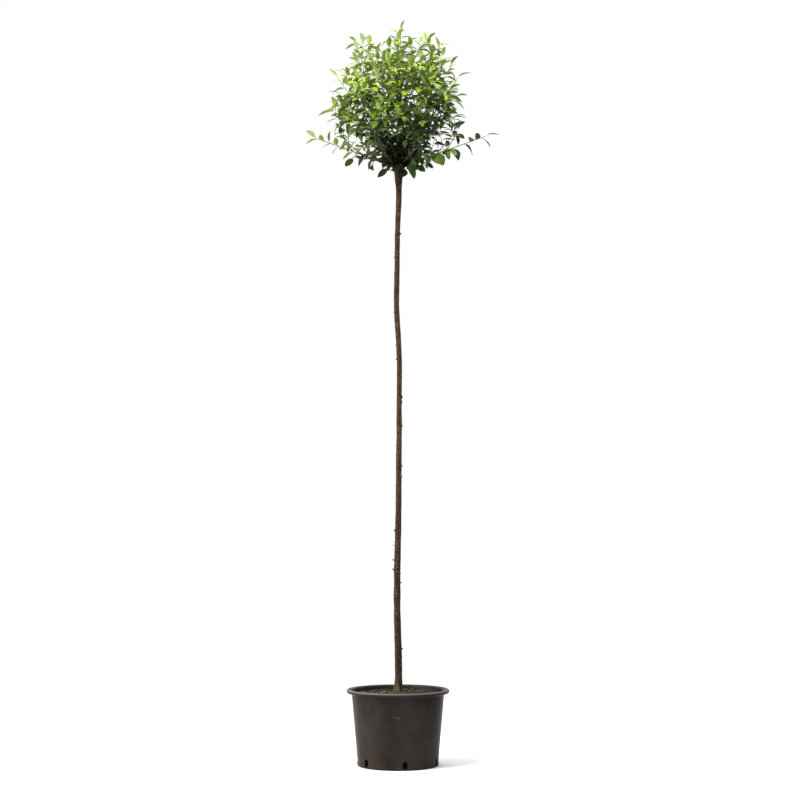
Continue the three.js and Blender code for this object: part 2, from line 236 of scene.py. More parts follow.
def add_grain(material, grain, heights):
    """Breaks up the light on a surface by a pattern of small heights."""
    bump = node(material, "ShaderNodeBump", grain | {"Height": heights})
    link(material, bump, "Normal")


print("patterns start from Object coordinates")

# %% [markdown]
# ## Camera
# The plant is seen from the front, from about a third of its height, with a long lens that keeps the tall
# stem straight. A lens shift could hold the uprights parallel, but a camera that is simply tilted up gives
# the pot's rim and foot the curves that the real ones show.

# %% Camera
CAMERA_PLACE = Vector((0.007, -5.83, 0.815))
CAMERA_RISE = math.radians(4.17)
CAMERA_LENS = 76.5

camera_data = bpy.data.cameras.new("camera")
camera_data.lens = CAMERA_LENS
camera = bpy.data.objects.new("camera", camera_data)
camera.location = CAMERA_PLACE
camera.rotation_euler = (math.pi / 2 + CAMERA_RISE, 0, 0)
scene.collection.objects.link(camera)
scene.camera = camera
scene.view_settings.view_transform = "Standard"
print("camera at", [round(value, 2) for value in camera.location])

# %% [markdown]
# ## Floor
# The plant stands on a plain pale studio floor. A square plane would do, but a disc takes the soft shadow
# as well and has no corners that could show.

# %% Floor
FLOOR_RADIUS = 2.6
FLOOR_SIDES = 96
FLOOR_COLOUR = grey(0.86)
FLOOR_ROUGHNESS = 0.9
FLOOR_SPECULAR = 0.2
FLAT_CREASE = 30

floor_shape = bmesh.new()
bmesh.ops.create_circle(floor_shape, cap_ends=True, segments=FLOOR_SIDES, radius=FLOOR_RADIUS)
floor = bpy.data.objects.new("floor", mesh_from(floor_shape, "floor", FLAT_CREASE))
floor.data.materials.append(plain_material("pale_floor", FLOOR_COLOUR, FLOOR_ROUGHNESS, FLOOR_SPECULAR))
scene.collection.objects.link(floor)
print("floor radius", FLOOR_RADIUS)

# %% [markdown]
# ## Sky and lamps
# A large soft lamp above the viewer's left shoulder models the crown and the pot, a narrow one on the right
# reaches only the crown, a cool one low on the left brightens that flank of the pot, a weak one behind
# lifts the top leaves, and an even sky fills the shade. A sun would be simpler, but its hard shadows
# belong to another kind of day.

# %% Sky and lamps
SKY_STRENGTH = 1.0
SKY_COLOUR = (0.97, 0.98, 1, 1)
BACKDROP_COLOUR = (1, 1, 1, 1)
LAMP_SIZE = 1.6
LAMPS = {
    "key": {"place": (-2.9, -2.9, 5.6), "aim": 1.5, "spread": 180, "power": 430, "colour": (1, 0.97, 0.92)},
    "side": {"place": (2.2, -2.6, 5.2), "aim": 2.4, "spread": 28, "power": 14, "colour": (0.94, 0.97, 1)},
    "fill": {"place": (-3.2, -0.4, 1), "aim": 1.2, "spread": 180, "power": 120, "colour": (0.92, 0.97, 1)},
    "back": {"place": (-1.6, 2.8, 5.2), "aim": 1.5, "spread": 180, "power": 90, "colour": (1, 0.98, 0.94)},
}


def make_lamp(name, place, aim, spread, power, colour):
    """A square soft lamp, turned to a height on the stem."""
    lamp_data = bpy.data.lights.new(name, "AREA")
    lamp_data.size = LAMP_SIZE
    lamp_data.spread = math.radians(spread)
    lamp_data.energy = power
    lamp_data.color = colour
    lamp = bpy.data.objects.new(name, lamp_data)
    lamp.location = place
    aim_way = Vector((0, 0, aim)) - lamp.location
    lamp.rotation_euler = aim_way.to_track_quat("-Z", "Y").to_euler()
    scene.collection.objects.link(lamp)


def make_sky():
    """An even sky that lights the plant gently, and that the camera sees as a white backdrop."""
    sky = bpy.data.worlds.new("sky")
    sky.use_nodes = True
    light = sky.node_tree.nodes["Background"]
    light.inputs["Color"].default_value = SKY_COLOUR
    light.inputs["Strength"].default_value = SKY_STRENGTH
    backdrop = node(sky, "ShaderNodeBackground", {"Color": BACKDROP_COLOUR})
    seen = node(sky, "ShaderNodeLightPath", {}, "Is Camera Ray")
    choice = node(sky, "ShaderNodeMixShader", {"Fac": seen, 1: light.outputs["Background"], 2: backdrop})
    sky.node_tree.links.new(choice, sky.node_tree.nodes["World Output"].inputs["Surface"])
    return sky


for lamp_name, lamp in LAMPS.items():
    make_lamp(lamp_name, **lamp)
scene.world = make_sky()
print("lamps:", sorted(LAMPS))

# %% [markdown]
# ## The pot
# The pot is a moulded container with a rolled rim, a slight taper and arched drain slots at its foot. It
# could be a cylinder that is scaled and bevelled. A lathe shape is truer: one profile, drawn from the
# axis out over the rim and back down the inside, is spun round Z, so the wall has its real thickness.

# %% The pot's wall
POT_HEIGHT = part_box("pot")[1].z
RIM_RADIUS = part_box("pot")[1].x
FOOT_RADIUS = 0.137
NECK_RADIUS = 0.157
RIM_HEIGHT = 0.015
ROLL_RADIUS = 0.0068
ROLL_STEPS = 12
WALL = 0.003
POT_FLOOR = 0.004
FOOT_ROUND = 0.006
FOOT_ROUND_STEPS = 6
FOOT_BEAD = 0.0015
FOOT_BEAD_TOP = 0.012
NECK_ROUND = 0.003
NECK_ROUND_STEPS = 4
LIP_ROUND = 0.006
LIP_DROP = 0.0075
LIP_STEPS = 5
POT_STEPS = 128
BELOW, OUTER, ABOVE, INNER = -90, 0, 90, 180
MERGE_REACH = 1e-5


def arc(centre, radius, start, end, steps):
    """Points of an arc in the plane of a profile, with angles in degrees."""
    turns = [math.radians(mix((start, end), share)) for share in even_shares(steps)]
    return [(centre[0] + radius * math.cos(turn), centre[1] + radius * math.sin(turn)) for turn in turns]


def spun(profile, steps):
    """A bmesh turned round Z from (radius, height) points."""
    shape = bmesh.new()
    points = [shape.verts.new((radius, 0, height)) for radius, height in profile]
    line = [shape.edges.new(pair) for pair in zip(points, points[1:])]
    turn = {"axis": (0, 0, 1), "cent": (0, 0, 0), "angle": math.tau, "steps": steps}
    bmesh.ops.spin(shape, geom=points + line, use_merge=True, **turn)
    bmesh.ops.remove_doubles(shape, verts=shape.verts, dist=MERGE_REACH)
    bmesh.ops.recalc_face_normals(shape, faces=shape.faces)
    return shape


def pot_profile():
    """The pot's section, from the axis under the floor round to the axis above it."""
    neck = POT_HEIGHT - RIM_HEIGHT
    bead = FOOT_RADIUS + FOOT_BEAD
    inner_foot = FOOT_RADIUS - WALL
    roll_centre = (RIM_RADIUS - ROLL_RADIUS, POT_HEIGHT - ROLL_RADIUS)
    neck_centre = (NECK_RADIUS + NECK_ROUND, neck - NECK_ROUND)
    lip_centre = (NECK_RADIUS - WALL + LIP_ROUND, POT_HEIGHT - LIP_DROP)
    foot = arc((bead - FOOT_ROUND, FOOT_ROUND), FOOT_ROUND, BELOW, OUTER, FOOT_ROUND_STEPS)
    step = [(bead, FOOT_BEAD_TOP), (FOOT_RADIUS, FOOT_BEAD_TOP + FOOT_BEAD)]
    wall_top = (NECK_RADIUS, neck - 2 * NECK_ROUND)
    under_rim = arc(neck_centre, NECK_ROUND, INNER, ABOVE, NECK_ROUND_STEPS)
    roll = arc(roll_centre, ROLL_RADIUS, BELOW, ABOVE, ROLL_STEPS)
    lip = arc(lip_centre, LIP_ROUND, ABOVE, INNER, LIP_STEPS)
    inside = [(inner_foot, POT_FLOOR + FOOT_ROUND), (inner_foot - FOOT_ROUND, POT_FLOOR)]
    return [(0, 0), *foot, *step, wall_top, *under_rim, *roll, *lip, *inside, (0, POT_FLOOR)]


pot_wall = spun(pot_profile(), POT_STEPS)
print("faces of the pot's wall:", len(pot_wall.faces))

# %% [markdown]
# ## Many small copies
# Drain slots, crumbs, chips, moss and leaves are copies of a few small shapes, hundreds of some. Separate
# objects would be slow, and instances are awkward to hand on. So a template's points are moved to every
# place, and all copies are written into one mesh.

# %% Joining copies
def copied(template, place):
    """A template's points at a place, with its faces and the finish of each face."""
    points, faces, finishes = template
    return [place @ point for point in points], faces, finishes


def joined(name, parts, crease):
    """One mesh of many parts, each given by its points, its faces and the finish of each face."""
    points, faces, finishes = [], [], []
    for part_points, part_faces, part_finishes in parts:
        first = len(points)
        points += part_points
        faces += [[first + corner for corner in face] for face in part_faces]
        finishes += part_finishes
    mesh = bpy.data.meshes.new(name)
    mesh.from_pydata(points, [], faces)
    mesh.polygons.foreach_set("material_index", finishes)
    smooth(mesh, crease)
    return mesh


def dealt(shape, places, count):
    """Copies of a bmesh at many places, with a number of finishes dealt out among them."""
    shape.verts.index_update()
    points = [vert.co.copy() for vert in shape.verts]
    faces = [[vert.index for vert in face.verts] for face in shape.faces]
    shape.free()
    finishes = [[index % count] * len(faces) for index in range(len(places))]
    return [copied((points, faces, finish), place) for finish, place in zip(finishes, places)]


print("copies are joined from points and faces")

# %% [markdown]
# ## Drain slots
# Six slots let water out at the foot. A slot is a block with rounded shoulders that is taken away from the
# wall. One boolean cut with all six blocks is quicker than six cuts, and leaves clean edges.

# %% Drain slots
SLOT_COUNT = 6
SLOT_WIDTH = 0.017
SLOT_HEIGHT = 0.026
SLOT_SILL = 0.005
SLOT_DEPTH = 0.03
SLOT_SHOULDER = 0.00765
SLOT_SHOULDER_STEPS = 6
FIRST_SLOT_TURN = math.radians(-80)
ROUND_PROFILE = 0.5
POT_CREASE = 40


def slot_block():
    """A block with a rounded top, as wide and as high as a slot."""
    shape = bmesh.new()
    block = Matrix.Diagonal((SLOT_DEPTH, SLOT_WIDTH, SLOT_HEIGHT, 1))
    bmesh.ops.create_cube(shape, size=1, matrix=block)
    upper = [edge for edge in shape.edges if all(vert.co.z > 0 for vert in edge.verts)]
    shoulders = [edge for edge in upper if abs(edge.verts[0].co.x - edge.verts[1].co.x) > SLOT_DEPTH / 2]
    rounding = {"offset": SLOT_SHOULDER, "segments": SLOT_SHOULDER_STEPS, "profile": ROUND_PROFILE}
    bmesh.ops.bevel(shape, geom=shoulders, affect="EDGES", material=-1, **rounding)
    return shape


def slot_cutters():
    """Blocks that stand round the foot where the drain slots go."""
    stand = Matrix.Translation((FOOT_RADIUS, 0, SLOT_SILL + SLOT_HEIGHT / 2))
    turns = [FIRST_SLOT_TURN + math.tau * slot / SLOT_COUNT for slot in range(SLOT_COUNT)]
    places = [Matrix.Rotation(turn, 4, "Z") @ stand for turn in turns]
    return joined("cutters", dealt(slot_block(), places, 1), POT_CREASE)


def modified(mesh, kind, settings):
    """A mesh as one modifier leaves it."""
    holder = bpy.data.objects.new("unfinished", mesh)
    scene.collection.objects.link(holder)
    modifier = holder.modifiers.new("change", kind)
    for key, value in settings.items():
        setattr(modifier, key, value)
    shown = holder.evaluated_get(bpy.context.evaluated_depsgraph_get())
    result = bpy.data.meshes.new_from_object(shown)
    bpy.data.objects.remove(holder)
    return result


def carved(mesh, cutters):
    """A mesh with the cutters' space taken away."""
    tool = bpy.data.objects.new("cutters", cutters)
    scene.collection.objects.link(tool)
    result = modified(mesh, "BOOLEAN", {"object": tool, "operation": "DIFFERENCE", "solver": "EXACT"})
    bpy.data.objects.remove(tool)
    smooth(result, POT_CREASE)
    return result


pot_mesh = carved(mesh_from(pot_wall, "pot_wall", POT_CREASE), slot_cutters())
print("faces with the slots:", len(pot_mesh.polygons))

# %% [markdown]
# ## Black plastic that has stood outdoors
# Recycled black plastic is not black: it is a warm dark grey, with dust that gathers low down, faint runs
# where water dried, small scuffs, and a rim whose outer top edge is painted pale, partly as wear from hands
# and partly as a painted highlight where light catches the roll. A broad noise tints it, a tall thin
# noise draws the runs, and the broad one also changes the roughness, so that highlights break up.

# %% The pot's finish
POT_DARK = srgb(28, 24, 22)
POT_WORN = srgb(45, 40, 37)
POT_DUST = srgb(62, 52, 43)
POT_SCUFF = srgb(92, 86, 80)
# The pale rim colour is partly wear and partly a painted highlight where light catches the top of the roll.
RIM_WEAR_AND_HIGHLIGHT = srgb(106, 104, 103)
POT_ROUGHNESS = 0.4
POT_SPECULAR = 0.03
CLOUDS = {"repeats": (9, 9, 6), "detail": 4}
RUNS = {"repeats": (70, 70, 3.5), "detail": 4, "stops": fade(0.52, 0.75, 0.4), "colour": POT_WORN}
SPECKS = {"repeats": (420, 420, 420), "detail": 2}
SPECK_MARKS = SPECKS | {"stops": fade(0.62, 0.74, 0.55), "colour": POT_DUST}
SCUFFS = {"repeats": (24, 24, 48), "detail": 5, "stops": fade(0.68, 0.74, 0.22), "colour": POT_SCUFF}
WEAR_STOPS = [(0.35, POT_DARK), (0.7, POT_WORN)]
DUST_STOPS = [(0.35, grey(0.3)), (0.65, grey(1))]
GLOSS_STOPS = [(0.3, grey(0.3)), (0.75, grey(0.46))]
DUST_TOP = 0.11
DUST_SHARE = 0.35
RIM_WEAR_AND_HIGHLIGHT_BAND = 0.006
RIM_WEAR_AND_HIGHLIGHT_EDGE = 0.007
POT_GRAIN = {"Strength": 0.12, "Distance": 0.0006}


def rim_wear_and_highlight(material):
    """Where the rim is worn and a highlight is painted: the top of its outer edge."""
    place = node(material, "ShaderNodeTexCoord", {}, "Object")
    flat = node(material, "ShaderNodeMapping", {"Vector": place, "Scale": (1, 1, 0)})
    radius = node(material, "ShaderNodeVectorMath", {0: flat}, "Value", "LENGTH")
    start = RIM_RADIUS - RIM_WEAR_AND_HIGHLIGHT_EDGE
    edge = {"Value": radius, "From Min": start, "From Max": start + RIM_WEAR_AND_HIGHLIGHT_EDGE / 2}
    high = height_share(material, POT_HEIGHT - RIM_WEAR_AND_HIGHLIGHT_BAND, POT_HEIGHT)
    return product(material, high, node(material, "ShaderNodeMapRange", edge))


def pot_plastic():
    """Dark recycled plastic under runs, specks, dust, scuffs and a rim of wear and painted highlight."""
    material = plain_material("recycled_plastic", POT_DARK, POT_ROUGHNESS, POT_SPECULAR)
    cloud = pattern_noise(material, **CLOUDS)
    low = height_share(material, DUST_TOP, 0, DUST_SHARE)
    dust = product(material, low, ramp(material, cloud, DUST_STOPS))
    colour = ramp(material, cloud, WEAR_STOPS)
    colour = marked(material, colour, **RUNS)
    colour = marked(material, colour, **SPECK_MARKS)
    colour = blend(material, dust, colour, POT_DUST)
    colour = marked(material, colour, **SCUFFS)
    # The rim's outer top edge is painted pale: partly wear, partly a painted highlight.
    colour = blend(material, rim_wear_and_highlight(material), colour, RIM_WEAR_AND_HIGHLIGHT)
    link(material, colour, "Base Color")
    link(material, ramp(material, cloud, GLOSS_STOPS), "Roughness")
    add_grain(material, POT_GRAIN, pattern_noise(material, **SPECKS))
    return material


add_piece("nursery_pot", pot_mesh, [pot_plastic()], ["pot"])

# %% [markdown]
# ## Compost
# The fill is peat and bark: a lumpy surface, level at the stem and a little lower at the wall. A grid
# could be heaved and cut round, but one more lathe shape fits the round pot with no cutting. Noise then
# heaves its top.

# %% The compost's shape
SOIL_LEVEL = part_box("soil")[1].z
SOIL_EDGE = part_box("soil")[1].x
SOIL_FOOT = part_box("soil")[0].z
SOIL_FALL = 0.005
SOIL_FALL_POWER = 4
SOIL_LUMP = 0.0045
SOIL_EDGE_POWER = 8
LUMP_REPEATS = 38
LUMP_FRACTAL = (0.9, 2.1, 4)
GRAIN_REPEATS = 130
GRAIN_LAYER = 3
GRAIN_SHARE = 0.6
CALM_RADIUS = 0.03
SOIL_RINGS = 42
SOIL_STEPS = 120
SOIL_CREASE = 60


def soil_height(x, y):
    """How high the compost lies at a place."""
    radius = math.hypot(x, y)
    share = radius / SOIL_EDGE
    calm = min(1, radius / CALM_RADIUS) * (1 - share**SOIL_EDGE_POWER)
    lumps = noise.fractal(LUMP_REPEATS * Vector((x, y, 0)), *LUMP_FRACTAL)
    grains = GRAIN_SHARE * noise.noise(GRAIN_REPEATS * Vector((x, y, GRAIN_LAYER)))
    return SOIL_LEVEL - SOIL_FALL * share**SOIL_FALL_POWER + calm * SOIL_LUMP * (lumps + grains)


def soil_mesh():
    """The compost as a closed body with a heaved top, whose foot stays behind the drain slots."""
    top = [(SOIL_EDGE * share, SOIL_LEVEL) for share in even_shares(SOIL_RINGS)]
    foot = (FOOT_RADIUS - SLOT_DEPTH, SOIL_FOOT)
    shape = spun([*top, foot, (0, SOIL_FOOT)], SOIL_STEPS)
    for vert in shape.verts:
        if vert.co.z > SOIL_LEVEL - SOIL_FALL:
            vert.co.z = soil_height(vert.co.x, vert.co.y)
    return mesh_from(shape, "compost", SOIL_CREASE)


compost_mesh = soil_mesh()
print("faces of the compost:", len(compost_mesh.polygons))

# %% [markdown]
# ## The compost's colours
# Moist peat is nearly black, with brown fibres and a few pale grains. One noise would give patches of one
# size, so a coarse noise mixes the browns and roughens the light on them, and a fine one sets the grains.

# %% The compost's finish
SOIL_DARK = srgb(30, 23, 19)
SOIL_BROWN = srgb(58, 45, 36)
SOIL_PALE = srgb(98, 84, 71)
SOIL_ROUGHNESS = 0.95
SOIL_SPECULAR = 0.2
FIBRES = {"repeats": (160, 160, 160), "detail": 6}
PEAT_STOPS = [(0.36, SOIL_DARK), (0.62, SOIL_BROWN)]
PALE_GRAINS = {"repeats": (520, 520, 520), "detail": 2, "stops": fade(0.62, 0.7, 0.8), "colour": SOIL_PALE}
SOIL_GRAIN = {"Strength": 0.7, "Distance": 0.002}


def compost_finish():
    """Dark peat with brown fibres and a few pale grains."""
    material = plain_material("peat_compost", SOIL_DARK, SOIL_ROUGHNESS, SOIL_SPECULAR)
    fibres = pattern_noise(material, **FIBRES)
    colour = marked(material, ramp(material, fibres, PEAT_STOPS), **PALE_GRAINS)
    link(material, colour, "Base Color")
    add_grain(material, SOIL_GRAIN, fibres)
    return material


add_piece("compost", compost_mesh, [compost_finish()], ["soil"])

# %% [markdown]
# ## A crumb and a chip
# Loose bits lie on the compost: peat crumbs and splinters of bark. Each could be sculpted, but at this size
# a few faces are enough: a dented ball for the crumb, and a bevelled slip for the chip.

# %% A crumb and a chip
CRUMB_DENT = 0.35
CRUMB_DENT_REPEATS = 2.3
CHIP_SHAPE = (1, 0.42, 0.13, 1)
CHIP_EDGE = 0.09


def crumb():
    """A rough lump of twenty faces."""
    shape = bmesh.new()
    bmesh.ops.create_icosphere(shape, subdivisions=1, radius=1)
    for vert in shape.verts:
        vert.co *= 1 + CRUMB_DENT * noise.noise(CRUMB_DENT_REPEATS * vert.co)
    return shape


def chip():
    """A flat splinter of bark."""
    shape = bmesh.new()
    bmesh.ops.create_cube(shape, size=2, matrix=Matrix.Diagonal(CHIP_SHAPE))
    edges = {"offset": CHIP_EDGE, "segments": 1, "profile": ROUND_PROFILE}
    bmesh.ops.bevel(shape, geom=shape.edges[:], affect="EDGES", material=-1, **edges)
    return shape


print("a chip's sides compare as", CHIP_SHAPE[:3])

# %% [markdown]
# ## Strewn bits
# The bits lie anywhere between the stem and the wall, and most are small. A particle system could strew
# them, but a loop over drawn places is shorter and the same on every run. Each kind has a few plain
# colours, dealt out from bit to bit, because bits differ more from each other than within themselves.

# %% Strewn bits
CRUMBS = {"count": 620, "sizes": (0.0011, 0.0042), "tilts": (-math.pi, math.pi), "seed": 5}
CHIPS = {"count": 150, "sizes": (0.004, 0.011), "tilts": (-0.3, 0.3), "seed": 6}
CRUMB_COLOURS = [srgb(36, 28, 24), srgb(44, 35, 30), srgb(56, 45, 38)]
CHIP_COLOURS = [srgb(58, 44, 36), srgb(72, 56, 45), srgb(90, 71, 57)]
CHIP_CREASE = 30
BIT_ROUGHNESS = 0.95
BIT_SPECULAR = 0.2
BIT_LIFT = 0.2
STEM_CLEARANCE = 0.022
WALL_CLEARANCE = 0.008


def on_compost(radius, turn, lift):
    """A place on the compost, lifted off it a little."""
    x, y = radius * math.cos(turn), radius * math.sin(turn)
    return Matrix.Translation((x, y, soil_height(x, y) + lift))


def scattered(count, sizes, tilts, seed):
    """Places for loose bits on the compost, clear of the stem and the wall."""
    draw = seeded(seed)
    places = []
    for _ in range(count):
        radius = mix((STEM_CLEARANCE, SOIL_EDGE - WALL_CLEARANCE), math.sqrt(draw()))
        turn = math.tau * draw()
        size = mix(sizes, draw() ** 2)
        roll = Matrix.Rotation(mix(tilts, draw()), 4, "X")
        lie = roll @ Matrix.Rotation(mix(tilts, draw()), 4, "Y")
        spin = Matrix.Rotation(math.tau * draw(), 4, "Z")
        places.append(on_compost(radius, turn, BIT_LIFT * size) @ spin @ lie @ Matrix.Scale(size, 4))
    return places


def add_bits(piece, shape, places, finish, colours, crease=SOIL_CREASE):
    """Adds one piece of many bits, with a few plain colours dealt out among them."""
    mesh = joined(piece, dealt(shape, places, len(colours)), crease)
    names = [f"{finish}_{index}" for index in range(len(colours))]
    finishes = [plain_material(*pair, BIT_ROUGHNESS, BIT_SPECULAR) for pair in zip(names, colours)]
    add_piece(piece, mesh, finishes)


add_bits("compost_crumbs", crumb(), scattered(**CRUMBS), "peat_crumb", CRUMB_COLOURS)
add_bits("bark_chips", chip(), scattered(**CHIPS), "bark_chip", CHIP_COLOURS, CHIP_CREASE)

# %% [markdown]
# ## Moss
# Moss creeps up the shaded side of the stem's foot. Hair strands would be finer than the eye can see here,
# so small cushions are packed against the bark, and thin out over the compost.

# %% Moss
MOSS_SEED = 7
MOSS_COUNT = 260
MOSS_SIZE = (0.0012, 0.0028)
MOSS_TURN = math.radians(-115)
MOSS_SPREAD = math.radians(75)
MOSS_BAND = (0.017, 0.034)
MOSS_LIFT = 0.5
MOSS_COLOURS = [srgb(60, 66, 28), srgb(78, 82, 38)]


def moss_places():
    """Cushions that lie thickest against the stem, on its shaded side."""
    draw = seeded(MOSS_SEED)
    places = []
    for _ in range(MOSS_COUNT):
        turn = MOSS_TURN + MOSS_SPREAD * mix((-1, 1), draw())
        radius = mix(MOSS_BAND, draw() ** 2)
        size = mix(MOSS_SIZE, draw())
        spin = Matrix.Rotation(math.tau * draw(), 4, "Z")
        places.append(on_compost(radius, turn, MOSS_LIFT * size) @ spin @ Matrix.Scale(size, 4))
    return places


add_bits("moss_cushions", crumb(), moss_places(), "moss", MOSS_COLOURS)

# %% [markdown]
# ## The plan of the tree
# The stem runs from the compost to the graft, where twelve short boughs leave in two rings and one leader.
# Each bough carries one mass of foliage, which keeps to the wedge of the crown round its bough's axis.
# Two low boughs run on into long shoots at the sides. The plan could be read back from the solids, but
# the rule that grew them is short, so it is written again here and simply carried further.

# %% The stem and the boughs
STEM_HEIGHT = 1.8
GRAFT_RISE = 0.006
STEM_STATIONS = [
    {"share": 0, "radius": 0.018, "x": 0.002, "y": 0},
    {"share": 0.012, "radius": 0.0145, "x": 0.002, "y": 0},
    {"share": 0.035, "radius": 0.0125, "x": 0.002, "y": 0},
    {"share": 0.18, "radius": 0.0116, "x": -0.003, "y": 0.001},
    {"share": 0.4, "radius": 0.01, "x": 0.003, "y": -0.003},
    {"share": 0.62, "radius": 0.009, "x": 0.005, "y": 0.002},
    {"share": 0.74, "radius": 0.0096, "x": -0.005, "y": 0.004},
    {"share": 0.86, "radius": 0.009, "x": -0.002, "y": 0},
    {"share": 0.95, "radius": 0.0098, "x": 0.003, "y": 0},
    {"share": 0.985, "radius": 0.014, "x": 0.002, "y": 0},
    {"share": 1, "radius": 0.016, "x": 0, "y": 0},
]
HEART = Vector((0, 0, SOIL_LEVEL + STEM_HEIGHT + GRAFT_RISE))
BOUGH_RINGS = [
    {"ring": "low", "count": 6, "first": 0, "rise": 20, "length": 0.046, "spread": 40},
    {"ring": "high", "count": 5, "first": 54, "rise": 54, "length": 0.074, "spread": 28},
    {"ring": "top", "count": 1, "first": 0, "rise": 90, "length": 0.096, "spread": 22},
]
LEADERS = {"low_1": 0.118, "low_4": 0.092}


def between(key, share):
    """A smooth value of the stem between its stations."""
    pairs = zip(STEM_STATIONS, STEM_STATIONS[1:])
    low, high = next(pair for pair in pairs if pair[1]["share"] >= share)
    part = (share - low["share"]) / (high["share"] - low["share"])
    return mix((low[key], high[key]), part * part * (3 - 2 * part))


def stem_centre(share):
    """The middle of the stem at a share of its height."""
    return Vector((between("x", share), between("y", share), mix((SOIL_LEVEL, HEART.z), share)))


def ring_boughs(ring):
    """The boughs of one ring, each with its axis from the heart of the crown."""
    rise = math.radians(ring["rise"])
    boughs = []
    for index in range(ring["count"]):
        turn = math.radians(ring["first"]) + math.tau * index / ring["count"]
        axis = Vector((math.cos(turn) * math.cos(rise), math.sin(turn) * math.cos(rise), math.sin(rise)))
        name = f"{ring['ring']}_{index + 1}" if ring["count"] > 1 else ring["ring"]
        plan = {"name": name, "ring": ring["ring"], "axis": axis, "length": ring["length"]}
        boughs.append(plan | {"spread": math.radians(ring["spread"]), "leader": LEADERS.get(name, 0)})
    return boughs


BOUGHS = [bough for ring in BOUGH_RINGS for bough in ring_boughs(ring)]
print("boughs:", [bough["name"] for bough in BOUGHS])

# %% [markdown]
# ## Limbs
# Stem, boughs and twigs are limbs: rows of rings with a cap at each end. A limb could be a curve with a
# bevel, but rings that are laid out as points and faces make a closed limb, which can be fused with its
# neighbours or joined with hundreds of others.

# %% Limbs
LIMB_SIDES = 20
UP = Vector((0, 0, 1))
SIDEWAYS = Vector((1, 0, 0))
NEAR_UPRIGHT = 0.9


def square_to(axis):
    """A direction square to an axis."""
    reference = SIDEWAYS if abs(axis.z) > NEAR_UPRIGHT else UP
    return (reference - axis * reference.dot(axis)).normalized()


def ring_places(centres, radii):
    """Where each ring of a limb stands, square to its course, as matrices."""
    reference = square_to((centres[-1] - centres[0]).normalized())
    places = []
    for index, (centre, radius) in enumerate(zip(centres, radii)):
        along = centres[min(index + 1, len(centres) - 1)] - centres[max(index - 1, 0)]
        along.normalize()
        side = (reference - along * reference.dot(along)).normalized()
        turn = Matrix((side, along.cross(side), along)).transposed().to_4x4()
        places.append(Matrix.Translation(centre) @ turn @ Matrix.Scale(radius, 4))
    return places


def limb(centres, radii, sides):
    """A closed round limb, ring after ring, as points, faces and one finish."""
    turns = [math.tau * corner / sides for corner in range(sides)]
    corners = [Vector((math.cos(turn), math.sin(turn), 0)) for turn in turns]
    points = [place @ corner for place in ring_places(centres, radii) for corner in corners]
    last = len(points) - sides
    faces = []
    for here in range(0, last, sides):
        for corner in range(sides):
            near, far = here + corner, here + (corner + 1) % sides
            faces.append((near, far, far + sides, near + sides))
    faces.append(tuple(reversed(range(sides))))
    faces.append(tuple(range(last, len(points))))
    return points, faces, [0] * len(faces)


print("sides of a limb:", LIMB_SIDES)

# %% [markdown]
# ## Knots and snags
# Knots mark where side shoots were rubbed off, and fine snags where thorn-like spurs died back. They could
# be painted on, but they roughen the stem's outline, so each is a short limb of its own.

# %% Knots and snags
STUB_SIDES = 8
STUB_NARROWING = 0.55
GOLDEN_TURN = math.radians(137.508)
SEED = 20
KNOT_COUNT = 14
KNOT_LENGTH = (0.0018, 0.0052)
KNOT_RADIUS = (0.0032, 0.0054)
KNOT_RISE = 0.35
KNOT_RANGE = (0.05, 0.9)
SNAG_COUNT = 60
SNAG_LENGTH = (0.006, 0.016)
SNAG_SHORTENING = 0.75
SNAG_RADIUS = (0.002, 0.0034)
SNAG_RISE = 0.6
SNAG_RANGE = (0.01, 0.8)


def outward(turn, rise):
    """A direction out from the stem that climbs by a slope."""
    return Vector((math.cos(turn), math.sin(turn), rise)).normalized()


def stub(share, turn, rise, reach, radius):
    """A short limb that stands out of the stem."""
    foot = stem_centre(share)
    tip = foot + (between("radius", share) + reach) * outward(turn, rise)
    return limb([foot, tip], [radius, STUB_NARROWING * radius], STUB_SIDES)


def knots(draw):
    """The knots of the solids, in a golden spiral up the stem."""
    for knot in range(KNOT_COUNT):
        share = mix(KNOT_RANGE, (knot + draw()) / KNOT_COUNT)
        reach = mix(KNOT_LENGTH, draw())
        yield stub(share, knot * GOLDEN_TURN, KNOT_RISE, reach, mix(KNOT_RADIUS, draw()))


def snags(draw):
    """Finer snags, shorter towards the crown."""
    for snag in range(SNAG_COUNT):
        share = mix(SNAG_RANGE, (snag + draw()) / SNAG_COUNT)
        reach = mix(SNAG_LENGTH, draw() ** 2) * (1 - SNAG_SHORTENING * share)
        yield stub(share, math.tau * draw(), SNAG_RISE, reach, mix(SNAG_RADIUS, draw()))


stub_draw = seeded(SEED)
stubs = [*knots(stub_draw), *snags(stub_draw)]
print("knots and snags:", len(stubs))

# %% [markdown]
# ## Bark
# Cherry bark is a thin brown skin with low ridges. A voxel remesh grows stem, graft, stubs and boughs
# together, as living wood does, and noise then moves each point along its normal. Fusing was chosen over
# separate limbs because a healed graft has no seams.

# %% The bark's shape
GRAFT_RADIUS = 0.017
GRAFT_SUBDIVISIONS = 3
COLLAR_REACH = 0.027
BOUGH_RADII = (0.0078, 0.0062, 0.004)
STEM_RINGS = 180
BARK_VOXEL = 0.0016
BARK_SMOOTHING = 0.5
BARK_CREASE = 80
RIDGE_HEIGHT = 0.0011
RIDGE_REPEATS = Vector((90, 90, 22))
PORE_HEIGHT = 0.0004
PORE_REPEATS = Vector((150, 150, 520))


def stem_limb():
    """The stem from the compost to the graft."""
    shares = even_shares(STEM_RINGS)
    radii = [between("radius", share) for share in shares]
    return limb([stem_centre(share) for share in shares], radii, LIMB_SIDES)


def bough_limb(bough):
    """A bough with its collar at the graft."""
    reaches = [0, COLLAR_REACH, COLLAR_REACH + bough["length"]]
    return limb([HEART + reach * bough["axis"] for reach in reaches], BOUGH_RADII, LIMB_SIDES)


